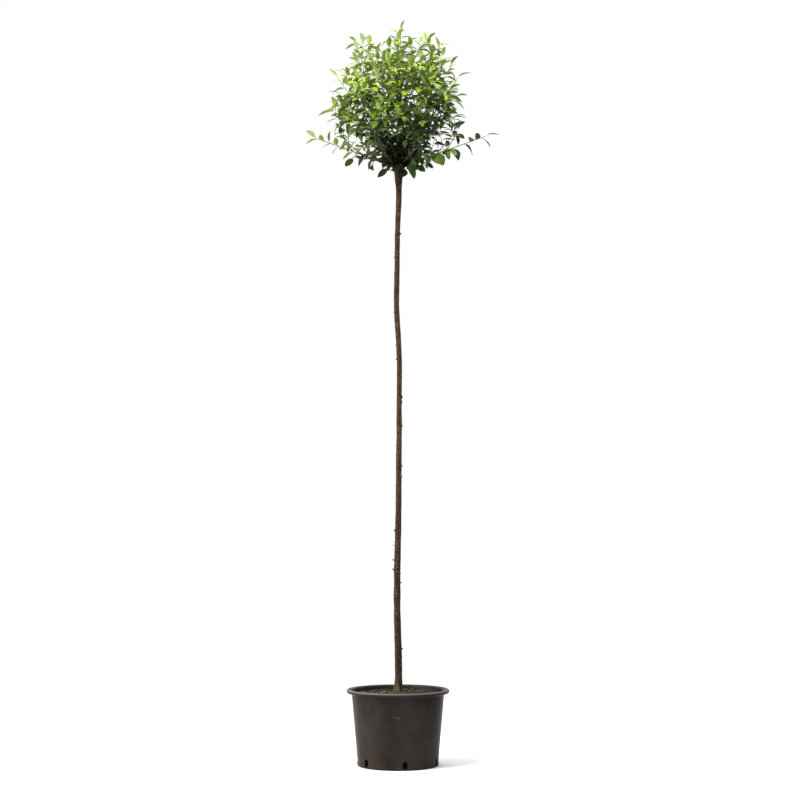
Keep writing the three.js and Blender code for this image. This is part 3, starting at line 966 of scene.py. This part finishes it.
def bark_skeleton():
    """Stem, stubs, boughs and graft as overlapping closed limbs."""
    limbs = [stem_limb(), *stubs, *(bough_limb(bough) for bough in BOUGHS)]
    shape = bmesh.new()
    shape.from_mesh(joined("limbs", limbs, BARK_CREASE))
    graft = {"subdivisions": GRAFT_SUBDIVISIONS, "radius": GRAFT_RADIUS}
    bmesh.ops.create_icosphere(shape, matrix=Matrix.Translation(HEART), **graft)
    return mesh_from(shape, "skeleton", BARK_CREASE)


def bark_mesh():
    """The fused skin with low ridges along the stem and pores across it."""
    shape = bmesh.new()
    shape.from_mesh(modified(bark_skeleton(), "REMESH", {"mode": "VOXEL", "voxel_size": BARK_VOXEL}))
    every_way = {"use_axis_x": True, "use_axis_y": True, "use_axis_z": True}
    bmesh.ops.smooth_vert(shape, verts=shape.verts, factor=BARK_SMOOTHING, **every_way)
    shape.normal_update()
    for vert in shape.verts:
        ridge = noise.noise(vert.co * RIDGE_REPEATS)
        pore = max(0, noise.noise(vert.co * PORE_REPEATS))
        vert.co += vert.normal * (RIDGE_HEIGHT * ridge + PORE_HEIGHT * pore)
        vert.co.z = max(vert.co.z, SOIL_LEVEL)
    return mesh_from(shape, "bark", BARK_CREASE)


bark = bark_mesh()
print("faces of the bark:", len(bark.polygons))

# %% [markdown]
# ## The bark's colours
# The old bark near the ground is dark, the stem higher up is warmer, and the boughs in the crown's shade
# are darkest: their young bark is darker, and the crown's shade is painted onto it as well. Pale pores lie
# across the stem, fine cracks run along it, and a green film climbs from the moss. Stretching one kind of
# noise in different directions gives all of these without a picture.

# %% The bark's finish
BARK_LOW = srgb(46, 29, 23)
BARK_MIDDLE = srgb(57, 37, 21)
BARK_HIGH = srgb(46, 32, 15)
# The boughs' colour is darker young bark with the crown's shade painted in.
BARK_BOUGH_SHADE = srgb(36, 28, 19)
BARK_CRACK = srgb(30, 22, 19)
BARK_PORE = srgb(122, 100, 81)
MOSS_FILM = srgb(88, 88, 46)
MOSS_FILM_TOP = 0.06
BARK_ROUGHNESS = 0.72
BARK_SPECULAR = 0.08
AGE_SPAN = 2.07
# The last stop paints the crown's shade onto the boughs.
AGE_AND_SHADE_STOPS = [(0.26, BARK_LOW), (0.39, BARK_MIDDLE), (0.86, BARK_HIGH), (0.89, BARK_BOUGH_SHADE)]
CRACK_STOPS = [(0.38, grey(0.85)), (0.52, grey(0))]
CRACKS = {"repeats": (120, 120, 40), "detail": 6, "stops": CRACK_STOPS, "colour": BARK_CRACK}
PORES = {"repeats": PORE_REPEATS, "detail": 1, "stops": fade(0.64, 0.7, 0.8), "colour": BARK_PORE}
FILM = {"repeats": (60, 60, 40), "detail": 4}
FILM_STOPS = fade(0.4, 0.55, 1)
FINE_CRUST = {"repeats": (300, 300, 500), "detail": 4}
BARK_GRAIN = {"Strength": 0.5, "Distance": 0.0012}


def cherry_bark():
    """Brown bark, darker near the ground, with cracks, pores and a green film at its foot."""
    material = plain_material("cherry_bark", BARK_MIDDLE, BARK_ROUGHNESS, BARK_SPECULAR)
    patches = ramp(material, pattern_noise(material, **FILM), FILM_STOPS)
    foot = height_share(material, SOIL_LEVEL + MOSS_FILM_TOP, SOIL_LEVEL)
    colour = ramp(material, height_share(material, SOIL_LEVEL, SOIL_LEVEL + AGE_SPAN), AGE_AND_SHADE_STOPS)
    colour = marked(material, colour, **CRACKS)
    colour = marked(material, colour, **PORES)
    colour = blend(material, product(material, foot, patches), colour, MOSS_FILM)
    link(material, colour, "Base Color")
    add_grain(material, BARK_GRAIN, pattern_noise(material, **FINE_CRUST))
    return material


bark_nodes = ["trunk", *(f"bough_{bough['name']}" for bough in BOUGHS)]
add_piece("bark", bark, [cherry_bark()], bark_nodes)

# %% [markdown]
# ## The crown's rule
# The crown is a globe that is flatter below, and each mass keeps to its own side of the planes between its
# bough and every other. Testing a point against such planes is simpler than building the wedge as a shape.

# %% Outline and wedges
CROWN_RADIUS = 0.244
CROWN_MIDDLE = 2.3
CROWN_TOP = 2.538
CROWN_BOTTOM = 2.025
CROWN_POWER_ABOVE = 2
CROWN_POWER_BELOW = 3
REACH_STEPS = 11
CELL_GAP = 0.0012


def in_crown(point):
    """True inside the crown's outline."""
    rise = point.z - CROWN_MIDDLE
    half = CROWN_TOP - CROWN_MIDDLE if rise > 0 else CROWN_MIDDLE - CROWN_BOTTOM
    power = CROWN_POWER_ABOVE if rise > 0 else CROWN_POWER_BELOW
    across = math.hypot(point.x, point.y) / CROWN_RADIUS
    return abs(rise / half) ** power + across**power < 1


def height_in_crown(point):
    """0 at the crown's foot and 1 at its top."""
    return (point.z - CROWN_BOTTOM) / (CROWN_TOP - CROWN_BOTTOM)


def crown_reach(direction):
    """How far the crown reaches from its heart along a direction, found by halving."""
    near, far = 0.0, CROWN_TOP - CROWN_BOTTOM
    for _ in range(REACH_STEPS):
        middle = (near + far) / 2
        if in_crown(HEART + middle * direction):
            near = middle
        else:
            far = middle
    return near


def way_out(point):
    """How far out a point lies: 0 at the crown's heart and 1 at its skin."""
    offset = point - HEART
    return offset.length / crown_reach(offset.normalized())


def in_cell(point, own):
    """True on the own mass's side of the plane between it and every other mass."""
    offset = point - HEART
    others = [bough["axis"] for bough in BOUGHS if bough["axis"] is not own]
    return all(offset.dot((own - axis).normalized()) > CELL_GAP for axis in others)


print("crown reach, up and aside:", round(crown_reach(UP), 3), round(crown_reach(SIDEWAYS), 3))

# %% [markdown]
# ## Curves
# A shoot is a gentle arch. Curve objects could hold it, but here a curve is only a function from a share of
# its length to a point, which is easy to test against the crown, to cut short and to set leaves on.

# %% Curves
def tilted(axis, tilt, turn):
    """A direction tilted away from an axis and turned round it."""
    leaning = Quaternion(square_to(axis), tilt) @ axis
    return Quaternion(axis, turn) @ leaning


def arched(start, bend, end):
    """A curve as a function from a share of its length to a point."""
    return lambda share: (1 - share) ** 2 * start + 2 * share * (1 - share) * bend + share**2 * end


def straight(start, end):
    """A curve with no arch."""
    return arched(start, (start + end) / 2, end)


def spoke(direction, near, far):
    """A straight curve that runs out from the crown's heart."""
    return straight(HEART + near * direction, HEART + far * direction)


def pruned(curve, cut):
    """A curve that ends sooner or runs on."""
    return lambda share: curve(share * cut)


print("middle of a level shoot:", straight(Vector(), SIDEWAYS)(1 / 2))

# %% [markdown]
# ## Twigs in their wedge
# A twig arches from its mass's shoot to the crown's skin. One that would leave its mass's wedge could be cut
# off there, but it would end in a stump, so it is bent in, a little more at every try, until it fits.

# %% Twigs in their wedge
LEAF_LENGTH = 0.05
LEAF_ALLOWANCE = 0.0275
TWIG_ARCH = 0.16
TWIG_TILT = (1.15, 0.6)
FORK_LIMIT = 0.8
CLEARANCE_STATIONS = (0.4, 0.6, 0.8, 1)
TRIES = 7
TRY_EASING = 0.88


def twig_curve(axis, fork, tilt, turn, reach_share):
    """A twig that arches from its fork on the shoot to the crown's skin."""
    direction = tilted(axis, tilt, turn)
    reach = reach_share * crown_reach(direction) - LEAF_ALLOWANCE
    start = HEART + min(fork, FORK_LIMIT * reach) * axis
    end = HEART + reach * direction
    bend = (start + end) / 2 + TWIG_ARCH * (end - start).length * axis
    return arched(start, bend, end)


def own_twig(bough, fork, share, turn, reach_share, least):
    """A twig bent in until it keeps to its own mass's wedge, or none."""
    for attempt in range(TRIES):
        tilt = bough["spread"] * mix(TWIG_TILT, share) * TRY_EASING**attempt
        curve = twig_curve(bough["axis"], fork, tilt, turn, reach_share)
        past_fork = (curve(0) - HEART).length > least
        if past_fork and all(in_cell(curve(at), bough["axis"]) for at in CLEARANCE_STATIONS):
            return curve
    return None


print("tries for a twig:", TRIES)

# %% [markdown]
# ## Shoots and twigs
# Each mass has one shoot, straight on from its bough, and twigs that leave it in a golden spiral. The rule
# and its draws are those of the solids. Only the leaf is shorter here, so twigs run nearer to the skin.
# The round outline could stay as it is, but no crown grows so even, so each twig is then cut or grown on by
# a share of its length, and some low ones are lost.

# %% Shoots and twigs
SEAT_GAP = 0.0003
TWIGS_PER_MASS = 7
TWIG_REACH = (0.94, 1.04)
FORK_RISE = 0.004
FORK_SHARE = 0.5
SHOOT_RADIUS = 0.0023
TWIG_RADIUS = 0.0018
TWIG_MARGIN = 0.015
CUT_SEED = 60
RING_CUTS = {"low": (0.6, 0.96), "high": (0.82, 1.16), "top": (1.0, 1.12)}
RING_HABITS = {"low": "loose", "high": "twig", "top": "twig"}
LEADER_HABITS = {"low_1": "bare", "low_4": "lush"}
SKIRT_HEIGHT = 2.115
SKIRT_LOSS = 0.6


def middles(count):
    """The middles of equal steps from 0 to 1."""
    return [(step + 1 / 2) / count for step in range(count)]


def shoot_plan(curve, habit, radius, margin=0):
    """A shoot's course, how it carries leaves, the radius of its foot and how far it may stand out."""
    return {"curve": curve, "habit": habit, "radius": radius, "margin": margin}


def mass_lines(number, bough):
    """The shoot of a mass and its twigs."""
    axis, habit = bough["axis"], RING_HABITS[bough["ring"]]
    draw, draw_cut = seeded(SEED + number), seeded(CUT_SEED + number)
    foot = COLLAR_REACH + bough["length"] + 2 * SEAT_GAP
    tip = crown_reach(axis) + bough["leader"] - LEAF_ALLOWANCE
    leader_habit = LEADER_HABITS.get(bough["name"], habit)
    lines = [shoot_plan(spoke(axis, foot, tip), leader_habit, SHOOT_RADIUS, bough["leader"])]
    first_turn = math.tau * draw()
    for twig, share in enumerate(middles(TWIGS_PER_MASS)):
        reach_share = mix(TWIG_REACH, draw())
        fork = foot + FORK_RISE + FORK_SHARE * share * (tip - foot)
        turn = first_turn + twig * GOLDEN_TURN
        curve = own_twig(bough, fork, share, turn, reach_share, foot + FORK_RISE)
        if curve is None:
            continue
        curve = pruned(curve, mix(RING_CUTS[bough["ring"]], draw_cut()))
        if draw_cut() > SKIRT_LOSS or curve(1).z > SKIRT_HEIGHT:
            lines.append(shoot_plan(curve, habit, TWIG_RADIUS, TWIG_MARGIN))
    return lines


crown_lines = [line for number, bough in enumerate(BOUGHS) for line in mass_lines(number, bough)]
print("shoots and twigs:", len(crown_lines))

# %% [markdown]
# ## The crown's body
# Under the loose tips lies a denser body, shaped like a bowl that narrows to the graft. A smaller copy of
# the outline could stand for it, but would be too wide at the graft, so a slope from there bounds it below.

# %% The crown's body
LINE_STEPS = 8
TANGENT_STEP = 0.01
BODY_FOOT_RADIUS = 0.03
BODY_SLOPE = 1.4


def curve_length(curve):
    """The length of a curve, measured in straight steps."""
    points = [curve(share) for share in even_shares(LINE_STEPS)]
    return sum((end - start).length for start, end in zip(points, points[1:]))


def tangent(curve, share):
    """The direction of a curve at a share of its length."""
    return (curve(min(1, share + TANGENT_STEP)) - curve(max(0, share - TANGENT_STEP))).normalized()


def in_body(point, skin):
    """True inside the crown's denser body: a share of its outline, narrower towards its foot."""
    offset = point - HEART
    bound = BODY_FOOT_RADIUS + BODY_SLOPE * offset.z
    return way_out(point) < skin and math.hypot(offset.x, offset.y) < bound


print("length of all shoots and twigs:", round(sum(curve_length(line["curve"]) for line in crown_lines), 2))

# %% [markdown]
# ## Side shoots
# The solids stop at the twigs. The real crown goes one step further: boughs and twigs carry side shoots,
# and those carry most leaves. They leave in the same golden spiral, bend up to the light and stop at uneven
# depths under the crown's skin, so the twigs' tips stand out of a denser body that narrows to the graft.

# %% Side shoots
GROWTH_SEED = 317
SIDE_SPACING = 0.051
SIDE_RANGE = (0.08, 0.82)
SIDE_LENGTH = (0.13, 0.065)
SIDE_LENGTH_SPREAD = (0.7, 1.15)
SIDE_TILT = (math.radians(48), math.radians(30))
SIDE_LIFT = 0.25
SIDE_BEND = 0.18
SIDE_RADIUS = 0.0012
SIDE_SHORTENING = 0.85
SIDE_LEAST = 0.018
SIDE_SKIN = (0.72, 1.02)
SIDE_SKIN_RISE = 0.16
FEWEST_SIDES = 2


def side_shoot(line, share, turn, draw):
    """One side shoot, shortened until it fits, or none where even a short one would leave the body."""
    root = line["curve"](share)
    along = tangent(line["curve"], share)
    direction = (tilted(along, mix(SIDE_TILT, share), turn) + SIDE_LIFT * UP).normalized()
    length = mix(SIDE_LENGTH, share) * mix(SIDE_LENGTH_SPREAD, draw())
    skin = mix(SIDE_SKIN, draw() ** 2) + SIDE_SKIN_RISE * height_in_crown(root)
    while length > SIDE_LEAST:
        end = root + length * direction
        if in_body(end + LEAF_ALLOWANCE * direction, skin):
            bend = (root + end) / 2 - SIDE_BEND * length / 2 * along
            return shoot_plan(arched(root, bend, end), "side", SIDE_RADIUS)
        length *= SIDE_SHORTENING
    return None


def side_shoots(lines):
    """The side shoots of some boughs, shoots or twigs."""
    draw = seeded(GROWTH_SEED)
    shoots = []
    for line in lines:
        span = (SIDE_RANGE[1] - SIDE_RANGE[0]) * curve_length(line["curve"])
        count = max(FEWEST_SIDES, round(span / SIDE_SPACING))
        first_turn = math.tau * draw()
        for index, middle in enumerate(middles(count)):
            share = mix(SIDE_RANGE, middle)
            shoots.append(side_shoot(line, share, first_turn + index * GOLDEN_TURN, draw))
    return [shoot for shoot in shoots if shoot]


def bough_line(bough):
    """The bough as a line that side shoots can leave."""
    return {"curve": spoke(bough["axis"], COLLAR_REACH, COLLAR_REACH + bough["length"])}


crown_sides = side_shoots([bough_line(bough) for bough in BOUGHS] + crown_lines)
print("side shoots:", len(crown_sides))

# %% [markdown]
# ## Shoots at the graft
# Short leafy shoots crowd the fork and hide it, and three stray sprouts below it hang broad leaves out to
# the right. Both could be left to chance, but the eye goes to the place where stem and crown meet, so they
# are set here on purpose.

# %% Shoots at the graft
GRAFT_SEED = 319
GRAFT_SHOOTS = 32
GRAFT_SHOOT_ROOT = 0.012
GRAFT_SHOOT_RISE = (0.4, 2.4)
GRAFT_SHOOT_LENGTH = (0.05, 0.14)
SPROUTS = [
    {"root": (0.012, -0.012, 2.036), "tip": (0.06, -0.04, 2.05)},
    {"root": (0.03, -0.02, 2.07), "tip": (0.11, -0.07, 2.088)},
    {"root": (0.06, -0.03, 2.085), "tip": (0.175, -0.07, 2.103)},
]


def graft_shoots():
    """Short leafy shoots between the boughs."""
    draw = seeded(GRAFT_SEED)
    shoots = []
    for index in range(GRAFT_SHOOTS):
        out = outward(index * GOLDEN_TURN, mix(GRAFT_SHOOT_RISE, draw()))
        length = mix(GRAFT_SHOOT_LENGTH, draw())
        curve = spoke(out, GRAFT_SHOOT_ROOT, GRAFT_SHOOT_ROOT + length)
        shoots.append(shoot_plan(curve, "inner", SIDE_RADIUS))
    return shoots


def sprout_shoot(root, tip):
    """A stray sprout, whose leaves may hang below the crown."""
    return shoot_plan(straight(Vector(root), Vector(tip)), "sprout", SIDE_RADIUS, CROWN_RADIUS)


graft_growth = graft_shoots() + [sprout_shoot(**sprout) for sprout in SPROUTS]
print("shoots at the graft:", len(graft_growth))

# %% [markdown]
# ## The crown's wood
# Twigs are thin limbs of a few sides, brown where they are old and green where they are young. They could
# be fused like the bark, but a voxel fine enough for them would make far too many faces, so each kind is
# only joined into one mesh.

# %% The crown's wood
TWIG_FORM = {"tip_radius": 0.0007, "steps": 8, "sides": 6}
TWIG_BARK = {"name": "twig_bark", "colour": srgb(58, 47, 36), "roughness": 0.75, "specular": 0.3}
SIDE_FORM = {"tip_radius": 0.0005, "steps": 4, "sides": 4}
GREEN_BARK = {"name": "green_bark", "colour": srgb(72, 78, 38), "roughness": 0.6, "specular": 0.3}
WOOD_CREASE = 70

foliage_nodes = [f"foliage_{bough['name']}" for bough in BOUGHS]


def shoot_limb(shoot, tip_radius, steps, sides):
    """A shoot as a limb that thins to its tip."""
    shares = even_shares(steps)
    radii = [mix((shoot["radius"], tip_radius), share) for share in shares]
    return limb([shoot["curve"](share) for share in shares], radii, sides)


def add_wood(piece, shoots, form, finish):
    """Adds one piece of many shoots."""
    mesh = joined(piece, [shoot_limb(shoot, **form) for shoot in shoots], WOOD_CREASE)
    add_piece(piece, mesh, [plain_material(**finish)], foliage_nodes)


add_wood("twigs", crown_lines, TWIG_FORM, TWIG_BARK)
add_wood("side_shoots", crown_sides + graft_growth, SIDE_FORM, GREEN_BARK)

# %% [markdown]
# ## A leaf
# A leaf of this cherry is small, longish and glossy, folded along its rib and arched, with a short stalk.
# It could be one flat card, but a card has no edge and no underside. So the template is a thin closed
# blade: rings of four points, an edge on each side and the rib above and below, that run from the stalk to
# the tip. Its upper faces take one finish and its lower faces a duller one.

# %% The leaf's shape
LEAF_STALK = 0.13
LEAF_STALK_WIDTH = 0.05
LEAF_OUTLINE = [(0.0, 0.12), (0.13, 0.52), (0.33, 0.88), (0.56, 1.0), (0.77, 0.74), (0.92, 0.32)]
LEAF_THICKNESS = 0.012
LEAF_FORMS = [
    {"fold": 0.05, "droop": 0.28},
    {"fold": 0.075, "droop": 0.48},
    {"fold": 0.1, "droop": 0.7},
]
UPPER, LOWER = 0, 1
RING_FINISHES = [UPPER, UPPER, LOWER, LOWER]


def leaf_ring(along, width, fold, droop):
    """Four points round the blade: an edge, the rib above, the other edge, the rib below."""
    rib = -droop * along**2
    edge = rib + fold * width
    above, below = rib + LEAF_THICKNESS / 2, rib - LEAF_THICKNESS / 2
    return [(along, width / 2, edge), (along, 0, above), (along, -width / 2, edge), (along, 0, below)]


def leaf_template(fold, droop):
    """A blade of unit length and unit width, from its stalk at the origin to its tip along X."""
    stations = [(0, LEAF_STALK_WIDTH)]
    stations += [(mix((LEAF_STALK, 1), share), width) for share, width in LEAF_OUTLINE]
    points = [point for along, width in stations for point in leaf_ring(along, width, fold, droop)]
    sides, tip = len(RING_FINISHES), len(points)
    faces, finishes = [list(range(sides))], [LOWER]
    for here in range(0, tip, sides):
        for corner, finish in enumerate(RING_FINISHES):
            ahead = here + corner
            beside = here + (corner + 1) % sides
            ends = [tip] if here + sides == tip else [ahead + sides, beside + sides]
            faces.append([beside, ahead, *ends])
            finishes.append(finish)
    points.append((1, 0, -droop))
    return [Vector(point) for point in points], faces, finishes


leaf_templates = [leaf_template(**form) for form in LEAF_FORMS]
print("faces of a leaf:", len(leaf_templates[0][1]))

# %% [markdown]
# ## Greens
# Light sorts the leaves, and the greens paint it in: high, outer and left-hand sprays, where the lamps fall,
# are painted lime green as painted light, and low and inner ones are painted dark as painted shade; young
# tips are lighter as well. A gradient in one material could say that, but it would not travel well to other
# programs. So every spray is dealt one of six plain greens by where it grows, with some chance in it.

# %% Greens by place
# Height, depth and the left-hand side paint light and shade into the greens; chance adds random tone.
LIGHT_AND_SHADE_WEIGHTS = {"height": 1.0, "out": 0.46, "left": 0.16, "chance": 0.3}
SHADE_RANGE = (0.48, 1.42)
# Six greens from dark to light: the darker ones stand for painted shade, the lighter ones for painted light.
SHADES = [
    {"name": "deep", "upper": srgb(25, 37, 12), "lower": srgb(40, 51, 26)},
    {"name": "dark", "upper": srgb(40, 57, 14), "lower": srgb(58, 73, 34)},
    {"name": "middle", "upper": srgb(72, 96, 20), "lower": srgb(90, 108, 52)},
    {"name": "green", "upper": srgb(106, 132, 28), "lower": srgb(118, 137, 66)},
    {"name": "fresh", "upper": srgb(122, 146, 38), "lower": srgb(126, 144, 68)},
    {"name": "lime", "upper": srgb(134, 155, 54), "lower": srgb(136, 152, 80)},
]


def nearest_shade(number):
    """A number's place in the table of shades, which it can't leave."""
    return max(0, min(len(SHADES) - 1, int(number)))


def spray_shade(point, dark, chance):
    """Which green a spray takes, from where it is, so that light and shade are painted in: 0 for the
    darkest.
    """
    parts = {
        "height": height_in_crown(point),
        "out": way_out(point),
        "left": -point.x / CROWN_RADIUS,
        "chance": chance,
    }
    score = sum(LIGHT_AND_SHADE_WEIGHTS[key] * value for key, value in parts.items()) - dark
    share = (score - SHADE_RANGE[0]) / (SHADE_RANGE[1] - SHADE_RANGE[0])
    return nearest_shade(len(SHADES) * share)


top_shade = SHADES[spray_shade(Vector((0, 0, CROWN_TOP)), 0, 0)]
print("a spray at the top is at least", top_shade["name"])

# %% [markdown]
# ## Habits
# Shoots differ in how they carry leaves: twigs only towards their tips, the graft's shoots all along, the
# left-hand leader thickly and the right-hand one sparsely, and the sprouts hang theirs to the viewer. A
# short table of habits says this more plainly than a branch in the code for each kind.

# %% Habits of the shoots
LEAF_FLOOR = 2.045
SPROUT_FLOOR = 1.985
TO_VIEWER = Vector((-0.2, -2, 0.6))
COMMON = {"size": 1, "breadth": 1, "lift": 0.15, "dark": 0, "faces": UP, "floor": LEAF_FLOOR}
HANGING = {"lift": -0.9, "faces": TO_VIEWER, "floor": SPROUT_FLOOR}
# The dark column paints light and shade: the low loose twigs and the graft's inner shoots are painted darker
# as shade, and the lush left-hand leader and the sprouts lighter as painted light.
HABITS = {
    "side": COMMON | {"first": 0.25, "spacing": 0.0135},
    "twig": COMMON | {"first": 0.5, "spacing": 0.0145},
    "loose": COMMON | {"first": 0.55, "spacing": 0.022, "size": 0.9, "lift": 0, "dark": 0.05},
    "lush": COMMON | {"first": 0.4, "spacing": 0.01, "breadth": 1.1, "lift": 0.5, "dark": -0.6},
    "bare": COMMON | {"first": 0.5, "spacing": 0.021, "size": 1.15, "breadth": 1.2, "lift": 0.2},
    "inner": COMMON | {"first": 0.15, "spacing": 0.0145, "lift": -0.1, "dark": 0.27},
    "sprout": COMMON | HANGING | {"first": 0.3, "spacing": 0.02, "size": 1.1, "breadth": 1.4, "dark": -0.44},
}
print("habits:", sorted(HABITS))

# %% [markdown]
# ## Placing a leaf
# A leaf has a root, a direction and a side that faces the light. Angles could turn it, but three directions
# square to each other make its matrix at once. A leaf that would reach too far out or too low is left off.

# %% Placing a leaf
LEAF_OVERREACH = 1.1


def leaf_place(root, direction, facing, length, width):
    """The matrix that puts a unit leaf at its root, along a direction, with its upper side facing."""
    across = facing.cross(direction).normalized()
    top = direction.cross(across)
    turn = Matrix((length * direction, width * across, length * top)).transposed().to_4x4()
    return Matrix.Translation(root) @ turn


def in_reach(tip, margin, floor):
    """True where a leaf's tip keeps to the crown."""
    offset = tip - HEART
    reach = LEAF_OVERREACH * crown_reach(offset.normalized()) + margin
    return offset.length < reach and tip.z > floor


print("leaves may overreach the crown by a factor of", LEAF_OVERREACH)

# %% [markdown]
# ## Where the leaves go
# Leaves stand in a spiral along each shoot, wide open at its foot and closing to its tip, with one at the
# end. Those near the foot are older and sit deeper in the crown, so they are a shade darker, partly for
# their age and partly as painted shade; some at the tip are younger and a shade lighter, and low leaves are
# broader than high ones. Scattering leaves over the crown's surface would be quicker, but then they would
# not grow from anything.

# %% Leaves along a shoot
LEAF_SEED = 318
LEAF_OPENING = (math.radians(72), math.radians(44))
END_LEAF_OPENING = math.radians(10)
LEAF_SIZES = (0.72, 1.06)
LEAF_SIZE_ALONG = (1.1, 0.88)
LEAF_WIDTH_SHARE = (0.3, 0.4)
LEAF_BREADTH = (1.3, 1.12)
LEAF_ROLL = (-0.5, 0.5)
FEWEST_LEAVES = 2
YOUNG_LEAVES = 2
YOUNG_CHANCE = 0.25
OLD_AND_SHADED_SHARE = 0.45


def leaf_sizes(habit, root, share, draw):
    """Length and width of a leaf: shorter towards a shoot's tip and broader low in the crown."""
    length = habit["size"] * LEAF_LENGTH * mix(LEAF_SIZES, draw()) * mix(LEAF_SIZE_ALONG, share)
    breadth = habit["breadth"] * mix(LEAF_BREADTH, height_in_crown(root))
    return length, breadth * length * mix(LEAF_WIDTH_SHARE, draw())


def spray_leaves(shoot, draw):
    """The leaves of one shoot, each with its shade, form and place."""
    curve, habit = shoot["curve"], HABITS[shoot["habit"]]
    shade = spray_shade(curve(1), habit["dark"], draw())
    count = max(FEWEST_LEAVES, round((1 - habit["first"]) * curve_length(curve) / habit["spacing"]))
    first_turn = math.tau * draw()
    leaves = []
    for index in range(count + 1):
        share = mix((habit["first"], 1), index / count)
        root = curve(share)
        along = tangent(curve, share)
        opening = END_LEAF_OPENING if index == count else mix(LEAF_OPENING, index / count)
        direction = tilted(along, opening, first_turn + index * GOLDEN_TURN) + habit["lift"] * UP
        direction.normalize()
        length, width = leaf_sizes(habit, root, share, draw)
        facing = Quaternion(direction, mix(LEAF_ROLL, draw())) @ (along + habit["faces"])
        form = int(draw() * len(LEAF_FORMS))
        young = draw() < YOUNG_CHANCE and index > count - YOUNG_LEAVES
        # Leaves near a shoot's foot are older and deeper in the crown: a shade darker, partly for age and
        # partly as painted shade.
        old_and_shaded = index < OLD_AND_SHADED_SHARE * count
        if in_reach(root + length * direction, shoot["margin"], habit["floor"]):
            place = leaf_place(root, direction, facing, length, width)
            leaves.append({"tone": nearest_shade(shade + young - old_and_shaded), "form": form, "place": place})
    return leaves


leaf_draw = seeded(LEAF_SEED)
every_shoot = crown_sides + crown_lines + graft_growth
crown_leaves = [leaf for shoot in every_shoot for leaf in spray_leaves(shoot, leaf_draw)]
print("leaves:", len(crown_leaves))

# %% [markdown]
# ## Leaf pieces
# All leaves of one green become one piece, whose upper and lower sides are two plain materials. One piece
# for each leaf would be unwieldy, and one for all of them could not be recoloured green by green.

# %% Leaf pieces by shade
UPPER_ROUGHNESS = 0.45
UPPER_SPECULAR = 0.15
LOWER_ROUGHNESS = 0.65
LOWER_SPECULAR = 0.1
LEAF_CREASE = 30


def leaf_copies(tone):
    """The leaves of one shade, each a copy of its form's template."""
    leaves = [leaf for leaf in crown_leaves if leaf["tone"] == tone]
    return [copied(leaf_templates[leaf["form"]], leaf["place"]) for leaf in leaves]


for tone, shade in enumerate(SHADES):
    name = f"leaves_{shade['name']}"
    upper = plain_material(name, shade["upper"], UPPER_ROUGHNESS, UPPER_SPECULAR)
    lower = plain_material(f"{name}_under", shade["lower"], LOWER_ROUGHNESS, LOWER_SPECULAR)
    add_piece(name, joined(name, leaf_copies(tone), LEAF_CREASE), [upper, lower], foliage_nodes)
